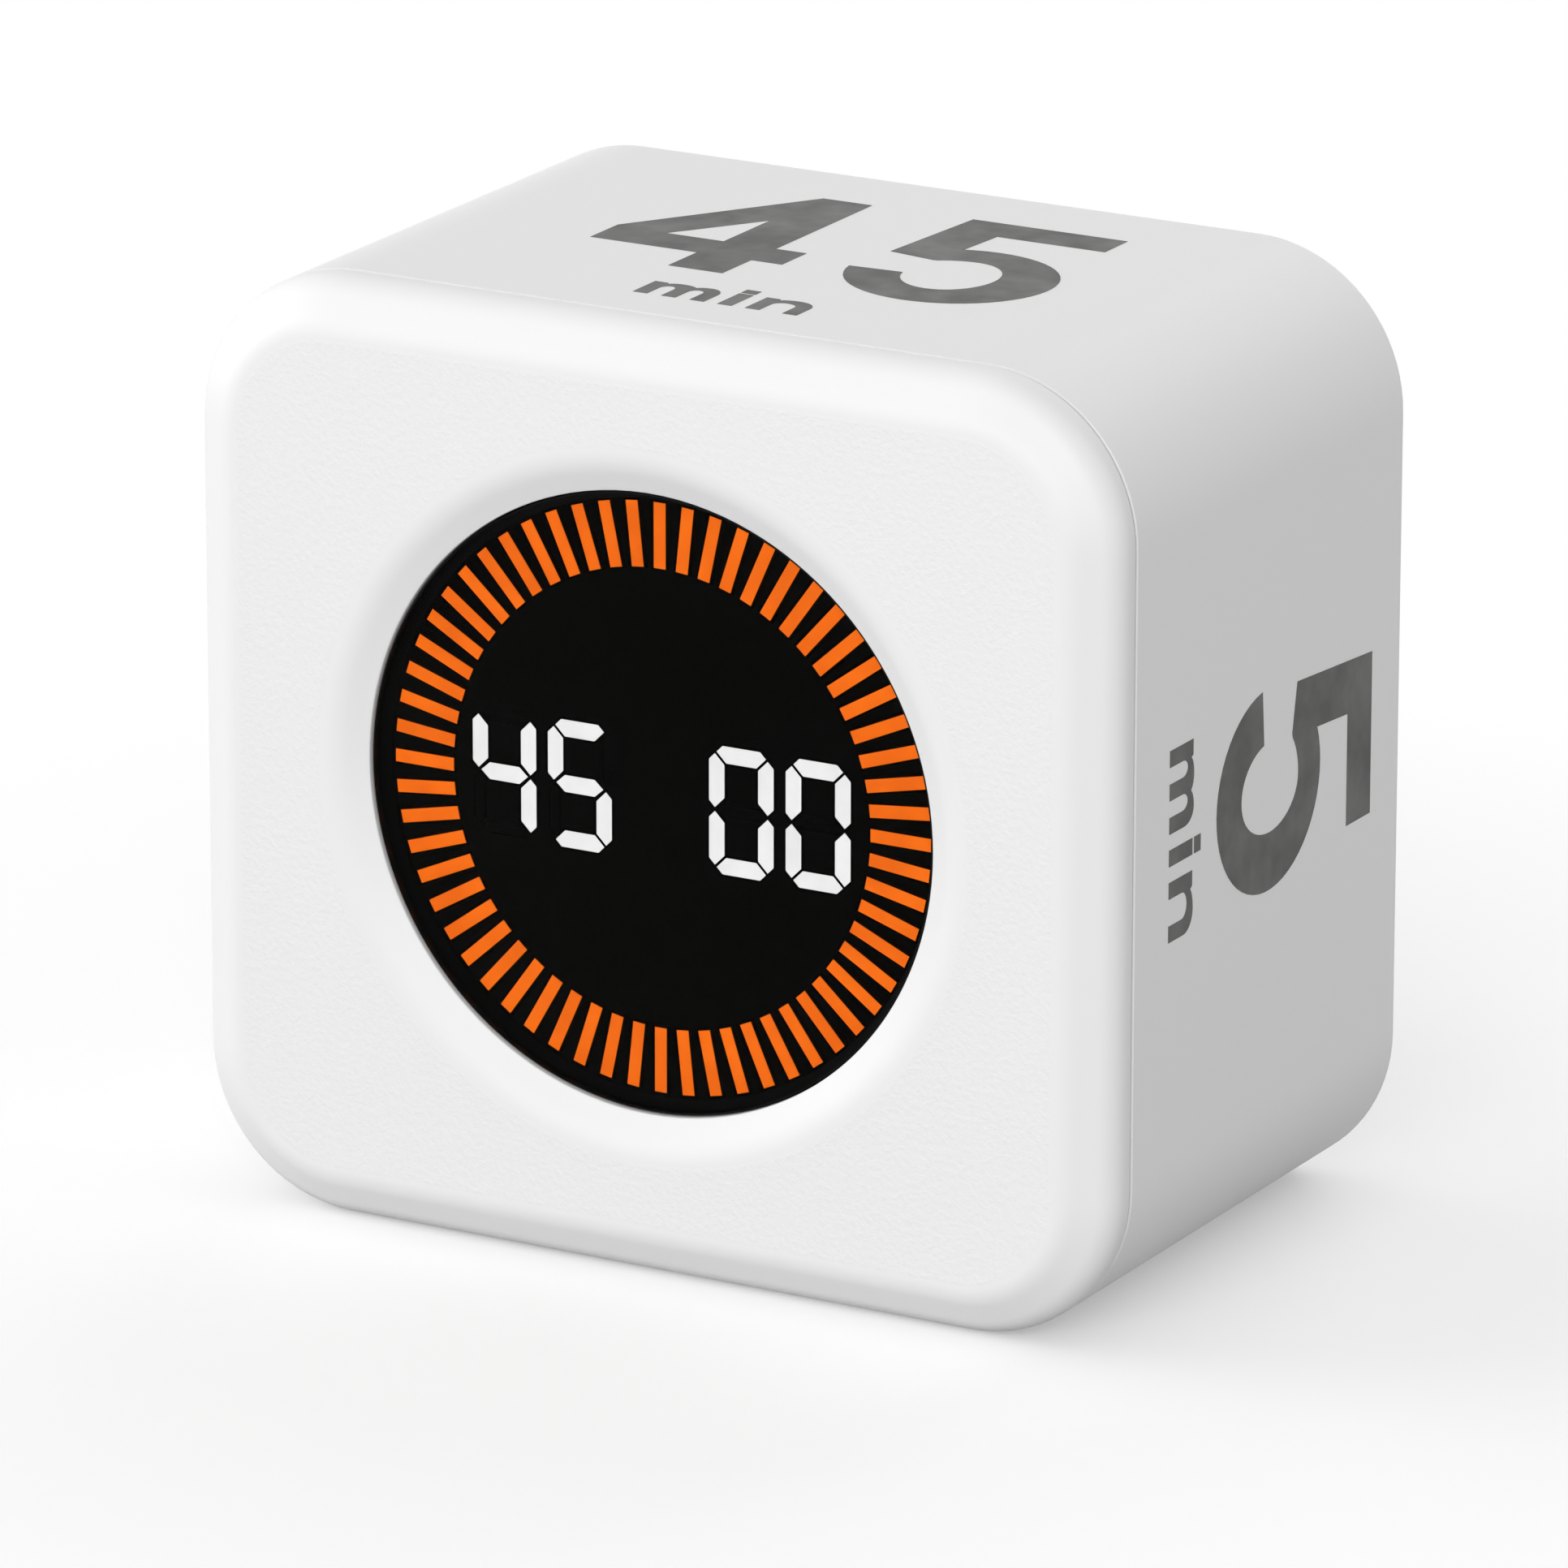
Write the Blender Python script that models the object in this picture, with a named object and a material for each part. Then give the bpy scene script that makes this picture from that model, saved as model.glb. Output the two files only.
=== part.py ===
"""Cube-shaped focus timer: a pillow-edged front with a round lit display, a housing and a rear panel.

The timer stands on its lower side with the display towards -Y. Every piece hangs on one empty, the timer
axis, which lies on the front plane in the middle of the front. In that empty's space a place is (across,
depth, up): across is to the viewer's right, depth runs from the front plane to the rear, and up is measured
from the middle.
"""

import math

import bmesh
import bpy
from mathutils import Vector
from mathutils.geometry import delaunay_2d_cdt

# Shell
WIDTH = 0.0595
HEIGHT = 0.0560
CORNER_RADIUS = 0.0094
FRONT_EDGE_RADIUS = 0.0029
BEZEL_RIM = 0.0002
REAR_EDGE_RADIUS = 0.0004
WALL = 0.0018
BEZEL_LIP_THICKNESS = 0.0012
BEZEL_LIP_HEIGHT = 0.0025
BEZEL_BORDER = 0.0097
DISH_WIDTH = 0.0018
DISH_DEPTH = 0.0010
OPENING_LIP_THICKNESS = 0.0007
POST_RADIUS = 0.0035
CORNER_BOSS_RADIUS = 0.0026
DISPLAY_BOSS_RADIUS = 0.0022
LEDGE_WIDTH = 0.0012
LEDGE_THICKNESS = 0.0012
COVER_RECESS = 0.0006
COVER_THICKNESS = 0.0021
COVER_CLEARANCE = 0.00025

# Clearances and the depth to which added shapes sink into the body that they join
GAP = 0.0003
FINE_GAP = 0.0001
SCREW_GAP = 0.0002
SINK = 0.0005
OVERRUN = 0.0010
MERGE_DISTANCE = 0.0000001

# Display
LENS_SETBACK = 0.0002
LENS_FACE_CLEARANCE = 0.00025
LENS_FLANGE_WIDTH = 0.00165
LENS_FLANGE_THICKNESS = 0.0007
TAPE_THICKNESS = 0.0002
TAPE_WIDTH = 0.0009
FRAME_THICKNESS = 0.0031
FRAME_RIM_WIDTH = 0.0010
BAR_COUNT = 60
BAR_BORDER = 0.00065
BAR_LENGTH = 0.00385
BAR_SPACE = 0.00047
GUIDE_MARGIN = 0.0004
GUIDE_BASE_THICKNESS = 0.0006
DIGIT_HEIGHT_SHARE = 0.546
DIGIT_WIDTH_SHARE = 0.3025
DIGIT_PITCH_SHARE = 0.365
DIGIT_PAIR_SHARE = 0.570
SEGMENT_SHARE = 0.183
SEGMENT_GAP = 0.00012
DIGIT_BASE_MARGIN = 0.0002
EMITTER_HEIGHT = 0.0005
RING_EMITTER_LENGTH = 0.0012
RING_EMITTER_WIDTH = 0.0006
DIGIT_EMITTER_SIDE = 0.0005
DISPLAY_BACK_SPACE = 0.0026

# Boards
BOARD_THICKNESS = 0.0012
BOARD_EDGE_CLEARANCE = 0.0010
BOARD_CORNER_RADIUS = 0.0020
DISPLAY_BOARD_CORNER_RADIUS = 0.0045
MAIN_BOARD_HEIGHT_SHARE = 0.4294
STANDOFF_RADIUS = 0.0022
STANDOFF_HEIGHT = 0.0055
LEAD_SPACE = 0.0047

# Power
BATTERY_WIDTH = 0.0360
BATTERY_HEIGHT = 0.0300
BATTERY_THICKNESS = 0.0065
BATTERY_EDGE_RADIUS = 0.0016
BATTERY_CORNER_RADIUS = 0.0025
PAD_THICKNESS = 0.0006
PAD_MARGIN = 0.0010
CRADLE_THICKNESS = 0.0012
CRADLE_WALL = 0.0012
CRADLE_WALL_HEIGHT = 0.0032
CRADLE_SLOT_BORDER = 0.0010
CRADLE_SLOT_END_SPACE = 0.0066
HOOK_LENGTH = 0.0060
HOOK_THICKNESS = 0.0008
HOOK_REACH = 0.0007
LEAD_RADIUS = 0.0006
LEAD_PITCH = 0.0020
PLUG_WIDTH = 0.0052
PLUG_HEIGHT = 0.0028
PLUG_LENGTH = 0.0047
SOCKET_WALL = 0.0006
SOCKET_LENGTH = 0.0042
SOCKET_FLOOR = 0.0008
POWER_SOCKET_INSET = 0.0056

# Ribbon between the boards
RIBBON_WIDTH = 0.0090
RIBBON_THICKNESS = 0.0003
RIBBON_INSET = 0.0080
RIBBON_BEND_RADIUS = 0.0012
RIBBON_SOCKET_WIDTH = 0.0110
RIBBON_SOCKET_HEIGHT = 0.0040
RIBBON_SOCKET_THICKNESS = 0.0014
RIBBON_SOCKET_BORDER = 0.00075

# Chips on the main board
PROCESSOR_SIDE = 0.0070
PROCESSOR_THICKNESS = 0.0010
PROCESSOR_ACROSS = -0.0008
PROCESSOR_SPACE = 0.0006
CHARGER_SIDE = 0.0034
CHARGER_THICKNESS = 0.0009
CHARGER_ACROSS = -0.0125
CHARGER_RAISE = 0.0149
SENSOR_SIDE = 0.0030
SENSOR_THICKNESS = 0.0010
SENSOR_ACROSS = 0.0100
SENSOR_RAISE = 0.0164
CRYSTAL_LENGTH = 0.0034
CRYSTAL_WIDTH = 0.0018
CRYSTAL_THICKNESS = 0.0009
CRYSTAL_ACROSS = 0.0075

# Charging socket
USB_WIDTH = 0.0089
USB_HEIGHT = 0.0032
USB_WALL = 0.0003
USB_FLOOR = 0.0008
USB_RECESS = 0.0005
USB_CLEARANCE = 0.0003
USB_ROUND_SHARE = 0.97
USB_RAISE = 0.0045
TONGUE_WIDTH = 0.0066
TONGUE_THICKNESS = 0.0007
TONGUE_BLOCK_WIDTH = 0.0074
TONGUE_BLOCK_HEIGHT = 0.0018
TONGUE_BLOCK_LENGTH = 0.0011

# Buttons
BUTTON_RADIUS = 0.0038
BUTTON_INSET = 0.0041
BUTTON_EDGE_RADIUS = 0.0004
BUTTON_RISE = 0.0003
BUTTON_TRAVEL = 0.0004
FLANGE_WIDTH = 0.0009
FLANGE_THICKNESS = 0.0009
TACT_SIDE = 0.0060
TACT_HEIGHT = 0.0032
TACT_WELL_DEPTH = 0.0014
PLUNGER_RADIUS = 0.0016

# Slide switch
SLIDE_TRAVEL = 0.0020
SLIDE_DROP = 0.0036
KNOB_WIDTH = 0.0052
KNOB_HEIGHT = 0.0030
KNOB_CORNER_RADIUS = 0.0006
KNOB_RISE = 0.0004
KNOB_GROOVE_COUNT = 3
KNOB_GROOVE_WIDTH = 0.0004
KNOB_GROOVE_DEPTH = 0.0003
KNOB_GROOVE_PITCH = 0.0011
SLIDE_CASE_WIDTH = 0.0090
SLIDE_CASE_HEIGHT = 0.0044
SLIDE_CASE_THICKNESS = 0.0032
SLIDE_WELL_DEPTH = 0.0020
LEVER_WIDTH = 0.0016
LEVER_HEIGHT = 0.0014
LEVER_ENGAGEMENT = 0.0019

# Sound
SPEAKER_LOWER_SPACE = 0.0019
SPEAKER_UPPER_SPACE = 0.0037
SPEAKER_THICKNESS = 0.0045
SPEAKER_RIM_WIDTH = 0.0010
SPEAKER_RIM_THICKNESS = 0.0008
MAGNET_SHARE = 0.588
MAGNET_THICKNESS = 0.0016
CONE_THICKNESS = 0.0004
CONE_RISE = 0.0005
CUP_WALL = 0.0010
GASKET_THICKNESS = 0.0006
GRILLE_PITCH_SHARE = 0.2286
GRILLE_HOLE_SHARE = 0.25
GRILLE_RINGS = 2
SPEAKER_LEAD_RADIUS = 0.0004
SPEAKER_LEAD_ACROSS = 0.0043
SPEAKER_LEAD_PITCH = 0.0013
SPEAKER_LEAD_DROP = 0.0028

# Screws
CASE_SCREW_RADIUS = 0.0009
CASE_HEAD_RADIUS = 0.00175
CASE_HEAD_HEIGHT = 0.0011
CASE_SCREW_BITE = 0.0065
SMALL_SCREW_RADIUS = 0.0007
SMALL_HEAD_RADIUS = 0.0015
SMALL_HEAD_HEIGHT = 0.0009
SMALL_SCREW_BITE = 0.0035
HEAD_CLEARANCE = 0.00025
CROSS_LENGTH_SHARE = 0.62
CROSS_WIDTH_SHARE = 0.20
CROSS_DEPTH_SHARE = 0.55

# Steps of the round shapes
CORNER_STEPS = 8
EDGE_STEPS = 4
WIDE_STEPS = 48
BUTTON_STEPS = 24
BOSS_STEPS = 16
SCREW_STEPS = 10
HOLE_STEPS = 8
LEAD_SPACING_DIAMETERS = 2.0
SHARP_ANGLE = math.radians(35)

# Depths from the front plane, worked out from front to rear
bezel_back = FRONT_EDGE_RADIUS + BEZEL_RIM
housing_front = bezel_back + GAP
lens_front = DISH_DEPTH + LENS_SETBACK
opening_lip_back = DISH_DEPTH + OPENING_LIP_THICKNESS
tape_front = opening_lip_back + FINE_GAP
flange_front = tape_front + TAPE_THICKNESS + FINE_GAP
lens_back = flange_front + LENS_FLANGE_THICKNESS
frame_front = lens_back + GAP
frame_back = frame_front + FRAME_THICKNESS
guide_tip = frame_front + FINE_GAP
guide_front = frame_back + SCREW_GAP
guide_back = guide_front + GUIDE_BASE_THICKNESS
display_board_front = guide_back + GAP + EMITTER_HEIGHT
display_board_back = display_board_front + BOARD_THICKNESS
cradle_front = display_board_back + DISPLAY_BACK_SPACE
cradle_back = cradle_front + CRADLE_THICKNESS
post_front = cradle_back + GAP
pad_front = cradle_back + GAP
battery_front = pad_front + PAD_THICKNESS + GAP
battery_back = battery_front + BATTERY_THICKNESS
hook_front = battery_back + GAP
main_board_front = hook_front + HOOK_THICKNESS + LEAD_SPACE
main_board_back = main_board_front + BOARD_THICKNESS
rear_parts_front = main_board_back + GAP
cover_front = rear_parts_front + STANDOFF_HEIGHT
cover_back = cover_front + COVER_THICKNESS
depth_total = cover_back + COVER_RECESS

# The round display, worked out from the front's border inwards
opening_radius = min(WIDTH, HEIGHT) / 2 - BEZEL_BORDER
lens_radius = opening_radius - LENS_FACE_CLEARANCE
lens_flange_radius = lens_radius + LENS_FLANGE_WIDTH
pocket_radius = lens_flange_radius + GAP
bar_outer_radius = lens_radius - BAR_BORDER
bar_inner_radius = bar_outer_radius - BAR_LENGTH
bar_width = 2 * math.pi * bar_inner_radius / BAR_COUNT - BAR_SPACE
digit_height = DIGIT_HEIGHT_SHARE * bar_inner_radius
digit_width = DIGIT_WIDTH_SHARE * bar_inner_radius
digit_pitch = DIGIT_PITCH_SHARE * bar_inner_radius
digit_pair_offset = DIGIT_PAIR_SHARE * bar_inner_radius
segment_thickness = SEGMENT_SHARE * digit_width
display_boss_offset = (pocket_radius + SINK + DISPLAY_BOSS_RADIUS) / math.sqrt(2)
display_board_side = 2 * (display_boss_offset + DISPLAY_BOSS_RADIUS)

# The screw posts and the main board, worked out from the housing's walls inwards
inner_height = HEIGHT - 2 * WALL
post_reach = (CORNER_RADIUS - WALL + SINK - POST_RADIUS) / math.sqrt(2)
post_across = WIDTH / 2 - CORNER_RADIUS + post_reach
post_up = HEIGHT / 2 - CORNER_RADIUS + post_reach
main_board_width = 2 * (post_across - POST_RADIUS - BOARD_EDGE_CLEARANCE)
main_board_low = -inner_height / 2 + BOARD_EDGE_CLEARANCE + GAP
main_board_height = MAIN_BOARD_HEIGHT_SHARE * inner_height
main_board_high = main_board_low + main_board_height
standoff_across = main_board_width / 2 - STANDOFF_RADIUS - GAP
standoff_low = main_board_low + STANDOFF_RADIUS + GAP
standoff_high = main_board_high - STANDOFF_RADIUS - GAP

# What the main board carries
usb_up = main_board_low + USB_RAISE
button_across = standoff_across - BUTTON_INSET
button_up = (standoff_low + standoff_high) / 2
button_flange_radius = BUTTON_RADIUS + FLANGE_WIDTH
slide_up = main_board_high - SLIDE_DROP
slot_width = KNOB_WIDTH + 2 * (SLIDE_TRAVEL + GAP)
slot_height = KNOB_HEIGHT + 2 * GAP

# The speaker fills the height above the main board
cup_low = main_board_high + SPEAKER_LOWER_SPACE
cup_outer_radius = (inner_height / 2 - SPEAKER_UPPER_SPACE - cup_low) / 2
cup_inner_radius = cup_outer_radius - CUP_WALL
speaker_radius = cup_inner_radius - GAP
speaker_up = cup_low + cup_outer_radius
magnet_radius = MAGNET_SHARE * speaker_radius
grille_pitch = GRILLE_PITCH_SHARE * cup_inner_radius
grille_hole_radius = GRILLE_HOLE_SHARE * grille_pitch

# The battery's cradle, and the leads and the ribbon that pass below it
cradle_wall_reach = BATTERY_HEIGHT / 2 + GAP + CRADLE_WALL
cradle_reach = post_up + CORNER_BOSS_RADIUS
cradle_slot_up = (cradle_wall_reach + cradle_reach) / 2
cradle_slot_height = cradle_reach - cradle_wall_reach - 2 * CRADLE_SLOT_BORDER
cradle_slot_width = 2 * (post_across - CRADLE_SLOT_END_SPACE)
power_socket_across = standoff_across - POWER_SOCKET_INSET
power_socket_up = -(cradle_wall_reach + inner_height / 2) / 2
ribbon_across = RIBBON_INSET - display_boss_offset
ribbon_line = -cradle_slot_up
ribbon_front_up = RIBBON_SOCKET_HEIGHT / 2 + RIBBON_SOCKET_BORDER - display_board_side / 2
ribbon_rear_up = ribbon_line + RIBBON_BEND_RADIUS + GAP + RIBBON_SOCKET_HEIGHT / 2
processor_up = ribbon_rear_up + (RIBBON_SOCKET_HEIGHT + PROCESSOR_SIDE) / 2 + PROCESSOR_SPACE

# Finishes: colour, roughness and metallic value
WHITE_SHELL = ("white_shell", (0.86, 0.86, 0.85), 0.55, 0.0)
SMOKED_LENS = ("smoked_lens", (0.02, 0.02, 0.022), 0.12, 0.0)
BLACK_FRAME = ("black_frame", (0.012, 0.012, 0.012), 0.7, 0.0)
ORANGE_GUIDE = ("orange_guide", (1.0, 0.16, 0.01), 0.4, 0.0)
WHITE_GUIDE = ("white_guide", (0.92, 0.92, 0.92), 0.4, 0.0)
BOARD_GREEN = ("board_green", (0.02, 0.12, 0.05), 0.45, 0.0)
CHIP_BLACK = ("chip_black", (0.02, 0.02, 0.02), 0.5, 0.0)
CONNECTOR_WHITE = ("connector_white", (0.75, 0.73, 0.66), 0.5, 0.0)
STEEL = ("steel", (0.62, 0.62, 0.62), 0.3, 1.0)
POUCH_SILVER = ("pouch_silver", (0.55, 0.56, 0.58), 0.35, 1.0)
TAPE_BLACK = ("tape_black", (0.03, 0.03, 0.03), 0.8, 0.0)
CONTROL_WHITE = ("control_white", (0.80, 0.80, 0.79), 0.5, 0.0)
SPEAKER_GREY = ("speaker_grey", (0.20, 0.20, 0.21), 0.45, 0.0)
FOAM_GREY = ("foam_grey", (0.12, 0.12, 0.12), 0.95, 0.0)
RED_WIRE = ("red_wire", (0.55, 0.02, 0.02), 0.5, 0.0)
BLACK_WIRE = ("black_wire", (0.02, 0.02, 0.02), 0.5, 0.0)
RIBBON_AMBER = ("ribbon_amber", (0.55, 0.25, 0.04), 0.35, 0.0)


def clear_scene():
    """Removes every object of the open scene."""
    for old in list(bpy.data.objects):
        bpy.data.objects.remove(old, do_unlink=True)


def material(finish):
    """A Principled material for a finish, made once."""
    name, colour, roughness, metallic = finish
    found = bpy.data.materials.get(name)
    if found:
        return found
    made = bpy.data.materials.new(name)
    made.use_nodes = True
    shader = made.node_tree.nodes["Principled BSDF"]
    shader.inputs["Base Color"].default_value = (*colour, 1.0)
    shader.inputs["Roughness"].default_value = roughness
    shader.inputs["Metallic"].default_value = metallic
    made.diffuse_color = (*colour, 1.0)
    return made


def timer_axis():
    """The empty in the middle of the front plane that every piece hangs on."""
    axis = bpy.data.objects.new("timer_axis", None)
    bpy.context.scene.collection.objects.link(axis)
    axis.location = (0, -depth_total / 2, HEIGHT / 2)
    return axis


def link(name, data, place, finish=None):
    """An object with its origin at a place in the timer axis's space."""
    made = bpy.data.objects.new(name, data)
    bpy.context.scene.collection.objects.link(made)
    made.parent = bpy.data.objects["timer_axis"]
    made.location = place
    if finish:
        data.materials.append(material(finish))
    return made


def mesh_from(bm, name):
    """Turns a bmesh into a mesh whose faces point out and whose round sides are smooth."""
    bmesh.ops.recalc_face_normals(bm, faces=bm.faces)
    mesh = bpy.data.meshes.new(name)
    bm.to_mesh(mesh)
    bm.free()
    mesh.shade_smooth()
    mesh.set_sharp_from_angle(angle=SHARP_ANGLE)
    return mesh


def piece(name, bm, finish, place=(0, 0, 0)):
    """A finished piece from a bmesh."""
    return link(name, mesh_from(bm, name), place, finish)


def tool(name, bm, place=(0, 0, 0)):
    """A hidden shape that is cut from a piece or joined to it."""
    made = link(name, mesh_from(bm, name), place)
    made.display_type = "WIRE"
    made.hide_render = True
    return made


def combine(target, other, operation):
    """Joins another shape to a piece, or cuts it away."""
    change = target.modifiers.new(operation.lower(), "BOOLEAN")
    change.operation = operation
    change.solver = "EXACT"
    change.object = other


def circle(radius, steps, centre=(0, 0)):
    """Points of a circle, across and up."""
    turns = [2 * math.pi * i / steps for i in range(steps)]
    return [(centre[0] + radius * math.cos(t), centre[1] + radius * math.sin(t)) for t in turns]


def rounded_rectangle(width, height, radius, steps, centre=(0, 0)):
    """Points of a rectangle with round corners, with the same count for every size."""
    radius = min(radius, width / 2, height / 2)
    points = []
    for corner, (side, level) in enumerate([(1, 1), (-1, 1), (-1, -1), (1, -1)]):
        middle_across = centre[0] + side * (width / 2 - radius)
        middle_up = centre[1] + level * (height / 2 - radius)
        for step in range(steps + 1):
            turn = (corner + step / steps) * math.pi / 2
            points.append((middle_across + radius * math.cos(turn), middle_up + radius * math.sin(turn)))
    return points


def shell_outline(inset):
    """The shell's outer outline, drawn in by an inset."""
    radius = CORNER_RADIUS - inset
    return rounded_rectangle(WIDTH - 2 * inset, HEIGHT - 2 * inset, radius, CORNER_STEPS)


def rectangle(width, height, centre=(0, 0), turn=0):
    """Points of a rectangle turned about the origin after its centre is placed."""
    right = width / 2
    top = height / 2
    corners = [(right, top), (-right, top), (-right, -top), (right, -top)]
    cosine = math.cos(turn)
    sine = math.sin(turn)
    placed = [(centre[0] + x, centre[1] + z) for x, z in corners]
    return [(x * cosine - z * sine, x * sine + z * cosine) for x, z in placed]


def corners_of(across, up):
    """The four corner places at a distance across and up from the middle."""
    return [(side * across, level * up) for level in (1, -1) for side in (-1, 1)]


def ring(bm, outline, depth):
    """Vertices along an outline at one depth."""
    return [bm.verts.new((x, depth, z)) for x, z in outline]


def wall(bm, first, second):
    """Faces between two rings of one count."""
    for i in range(len(first)):
        bm.faces.new((first[i - 1], first[i], second[i], second[i - 1]))


def face_between(bm, rings):
    """A flat face inside the first ring and outside the others."""
    if len(rings) == 1:
        bm.faces.new(rings[0])
        return
    corners = [corner for loop in rings for corner in loop]
    places = [Vector((corner.co.x, corner.co.z)) for corner in corners]
    starts = [sum(len(loop) for loop in rings[:i]) for i in range(len(rings))]
    loops = [list(range(start, start + len(loop))) for start, loop in zip(starts, rings)]
    filled = delaunay_2d_cdt(places, [], loops, 0, MERGE_DISTANCE)
    for triangle, inside in zip(filled[2], filled[5]):
        if inside == [0]:
            bm.faces.new([corners[filled[3][i][0]] for i in triangle])


def stack(bm, sections, closed=False):
    """A solid through a list of (outline, depth) sections, capped at its ends or closed on itself."""
    rings = [ring(bm, outline, depth) for outline, depth in sections]
    for i in range(1, len(rings)):
        wall(bm, rings[i - 1], rings[i])
    if closed:
        wall(bm, rings[-1], rings[0])
    else:
        face_between(bm, [rings[0]])
        face_between(bm, [rings[-1]])


def turned(bm, profile, steps, centre=(0, 0), closed=False):
    """A solid of revolution about the depth axis, from (radius, depth) points."""
    stack(bm, [(circle(radius, steps, centre), depth) for radius, depth in profile], closed)


def plate(bm, outer, holes, front, back):
    """A flat plate with holes right through."""
    fronts = [ring(bm, loop, front) for loop in [outer, *holes]]
    backs = [ring(bm, loop, back) for loop in [outer, *holes]]
    for near, far in zip(fronts, backs):
        wall(bm, near, far)
    face_between(bm, fronts)
    face_between(bm, backs)


def plate_with_pegs(bm, outer, holes, pegs, front, back, tip):
    """A plate with holes, whose front face carries pegs that reach forward to a tip depth."""
    fronts = [ring(bm, loop, front) for loop in [outer, *holes]]
    backs = [ring(bm, loop, back) for loop in [outer, *holes]]
    for near, far in zip(fronts, backs):
        wall(bm, near, far)
    feet = [ring(bm, loop, front) for loop in pegs]
    for foot, loop in zip(feet, pegs):
        top = ring(bm, loop, tip)
        wall(bm, foot, top)
        face_between(bm, [top])
    face_between(bm, fronts + feet)
    face_between(bm, backs)


def box_piece(name, width, height, front, back, centre, finish):
    """A plain block on a board."""
    bm = bmesh.new()
    stack(bm, [(rectangle(width, height), 0), (rectangle(width, height), back - front)])
    return piece(name, bm, finish, (centre[0], front, centre[1]))


def make_front_bezel():
    """The front shell: pillow edge, dished opening, lens pocket, lip and screw bosses."""
    bm = bmesh.new()
    rounding = [math.pi / 2 * i / EDGE_STEPS for i in range(EDGE_STEPS + 1)]
    edge = []
    for turn in rounding:
        inset = FRONT_EDGE_RADIUS * (1 - math.sin(turn))
        depth = FRONT_EDGE_RADIUS * (1 - math.cos(turn))
        edge.append(ring(bm, shell_outline(inset), depth))
    edge.append(ring(bm, shell_outline(0), bezel_back))
    for i in range(1, len(edge)):
        wall(bm, edge[i - 1], edge[i])
    dish = [(opening_radius + DISH_WIDTH, 0), (opening_radius, DISH_DEPTH)]
    pocket = [(opening_radius, opening_lip_back), (pocket_radius, opening_lip_back)]
    pocket.append((pocket_radius, bezel_back))
    bore = [ring(bm, circle(radius, WIDE_STEPS), depth) for radius, depth in dish + pocket]
    for i in range(1, len(bore)):
        wall(bm, bore[i - 1], bore[i])
    face_between(bm, [edge[0], bore[0]])
    face_between(bm, [edge[-1], bore[-1]])
    bezel = piece("front_bezel", bm, WHITE_SHELL)
    combine(bezel, bezel_lip(), "UNION")
    combine(bezel, bezel_bosses(), "UNION")
    combine(bezel, bezel_pilots(), "DIFFERENCE")
    return bezel


def bezel_lip():
    """The lip that plugs into the housing."""
    bm = bmesh.new()
    outer = shell_outline(WALL + GAP)
    inner = shell_outline(WALL + GAP + BEZEL_LIP_THICKNESS)
    front = bezel_back - SINK
    back = bezel_back + BEZEL_LIP_HEIGHT
    stack(bm, [(outer, front), (outer, back), (inner, back), (inner, front)], closed=True)
    return tool("bezel_lip", bm)


def bezel_bosses():
    """Four long bosses for the case screws and four short ones for the display board."""
    bm = bmesh.new()
    front = bezel_back - SINK
    for centre in corners_of(post_across, post_up):
        long_back = cradle_front - GAP
        turned(bm, [(CORNER_BOSS_RADIUS, front), (CORNER_BOSS_RADIUS, long_back)], BOSS_STEPS, centre)
    for centre in corners_of(display_boss_offset, display_boss_offset):
        short_back = display_board_front - GAP
        turned(bm, [(DISPLAY_BOSS_RADIUS, front), (DISPLAY_BOSS_RADIUS, short_back)], BOSS_STEPS, centre)
    return tool("bezel_bosses", bm)


def bezel_pilots():
    """Blind holes in the bezel's bosses, a little deeper than the screws reach."""
    bm = bmesh.new()
    case_radius = CASE_SCREW_RADIUS + SCREW_GAP
    small_radius = SMALL_SCREW_RADIUS + SCREW_GAP
    for centre in corners_of(post_across, post_up):
        floor = cradle_front - GAP - CASE_SCREW_BITE - GAP
        turned(bm, [(case_radius, floor), (case_radius, cradle_front + OVERRUN)], SCREW_STEPS, centre)
    for centre in corners_of(display_boss_offset, display_boss_offset):
        floor = display_board_front - GAP - SMALL_SCREW_BITE - GAP
        mouth = display_board_front + OVERRUN
        turned(bm, [(small_radius, floor), (small_radius, mouth)], SCREW_STEPS, centre)
    return tool("bezel_pilots", bm)


def make_main_housing():
    """The square tube with its four screw posts and the ledge under the rear cover."""
    bm = bmesh.new()
    sections = [(shell_outline(0), housing_front)]
    for i in range(EDGE_STEPS):
        turn = math.pi / 2 * i / (EDGE_STEPS - 1)
        inset = REAR_EDGE_RADIUS * (1 - math.cos(turn))
        depth = depth_total - REAR_EDGE_RADIUS * (1 - math.sin(turn))
        sections.append((shell_outline(inset), depth))
    sections.append((shell_outline(WALL), depth_total))
    sections.append((shell_outline(WALL), housing_front))
    stack(bm, sections, closed=True)
    housing = piece("main_housing", bm, WHITE_SHELL)
    combine(housing, cover_ledge(), "UNION")
    combine(housing, screw_posts(), "UNION")
    combine(housing, post_bores(), "DIFFERENCE")
    return housing


def cover_ledge():
    """The ledge that the rear cover rests on, sunk into the tube's wall."""
    bm = bmesh.new()
    outer = shell_outline(WALL - SINK)
    inner = shell_outline(WALL + LEDGE_WIDTH)
    back = cover_front - GAP
    front = back - LEDGE_THICKNESS
    stack(bm, [(outer, front), (outer, back), (inner, back), (inner, front)], closed=True)
    return tool("cover_ledge", bm)


def screw_posts():
    """Four posts in the tube's corners that carry the case screws."""
    bm = bmesh.new()
    for centre in corners_of(post_across, post_up):
        turned(bm, [(POST_RADIUS, post_front), (POST_RADIUS, cover_front - GAP)], BOSS_STEPS, centre)
    return tool("screw_posts", bm)


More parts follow.
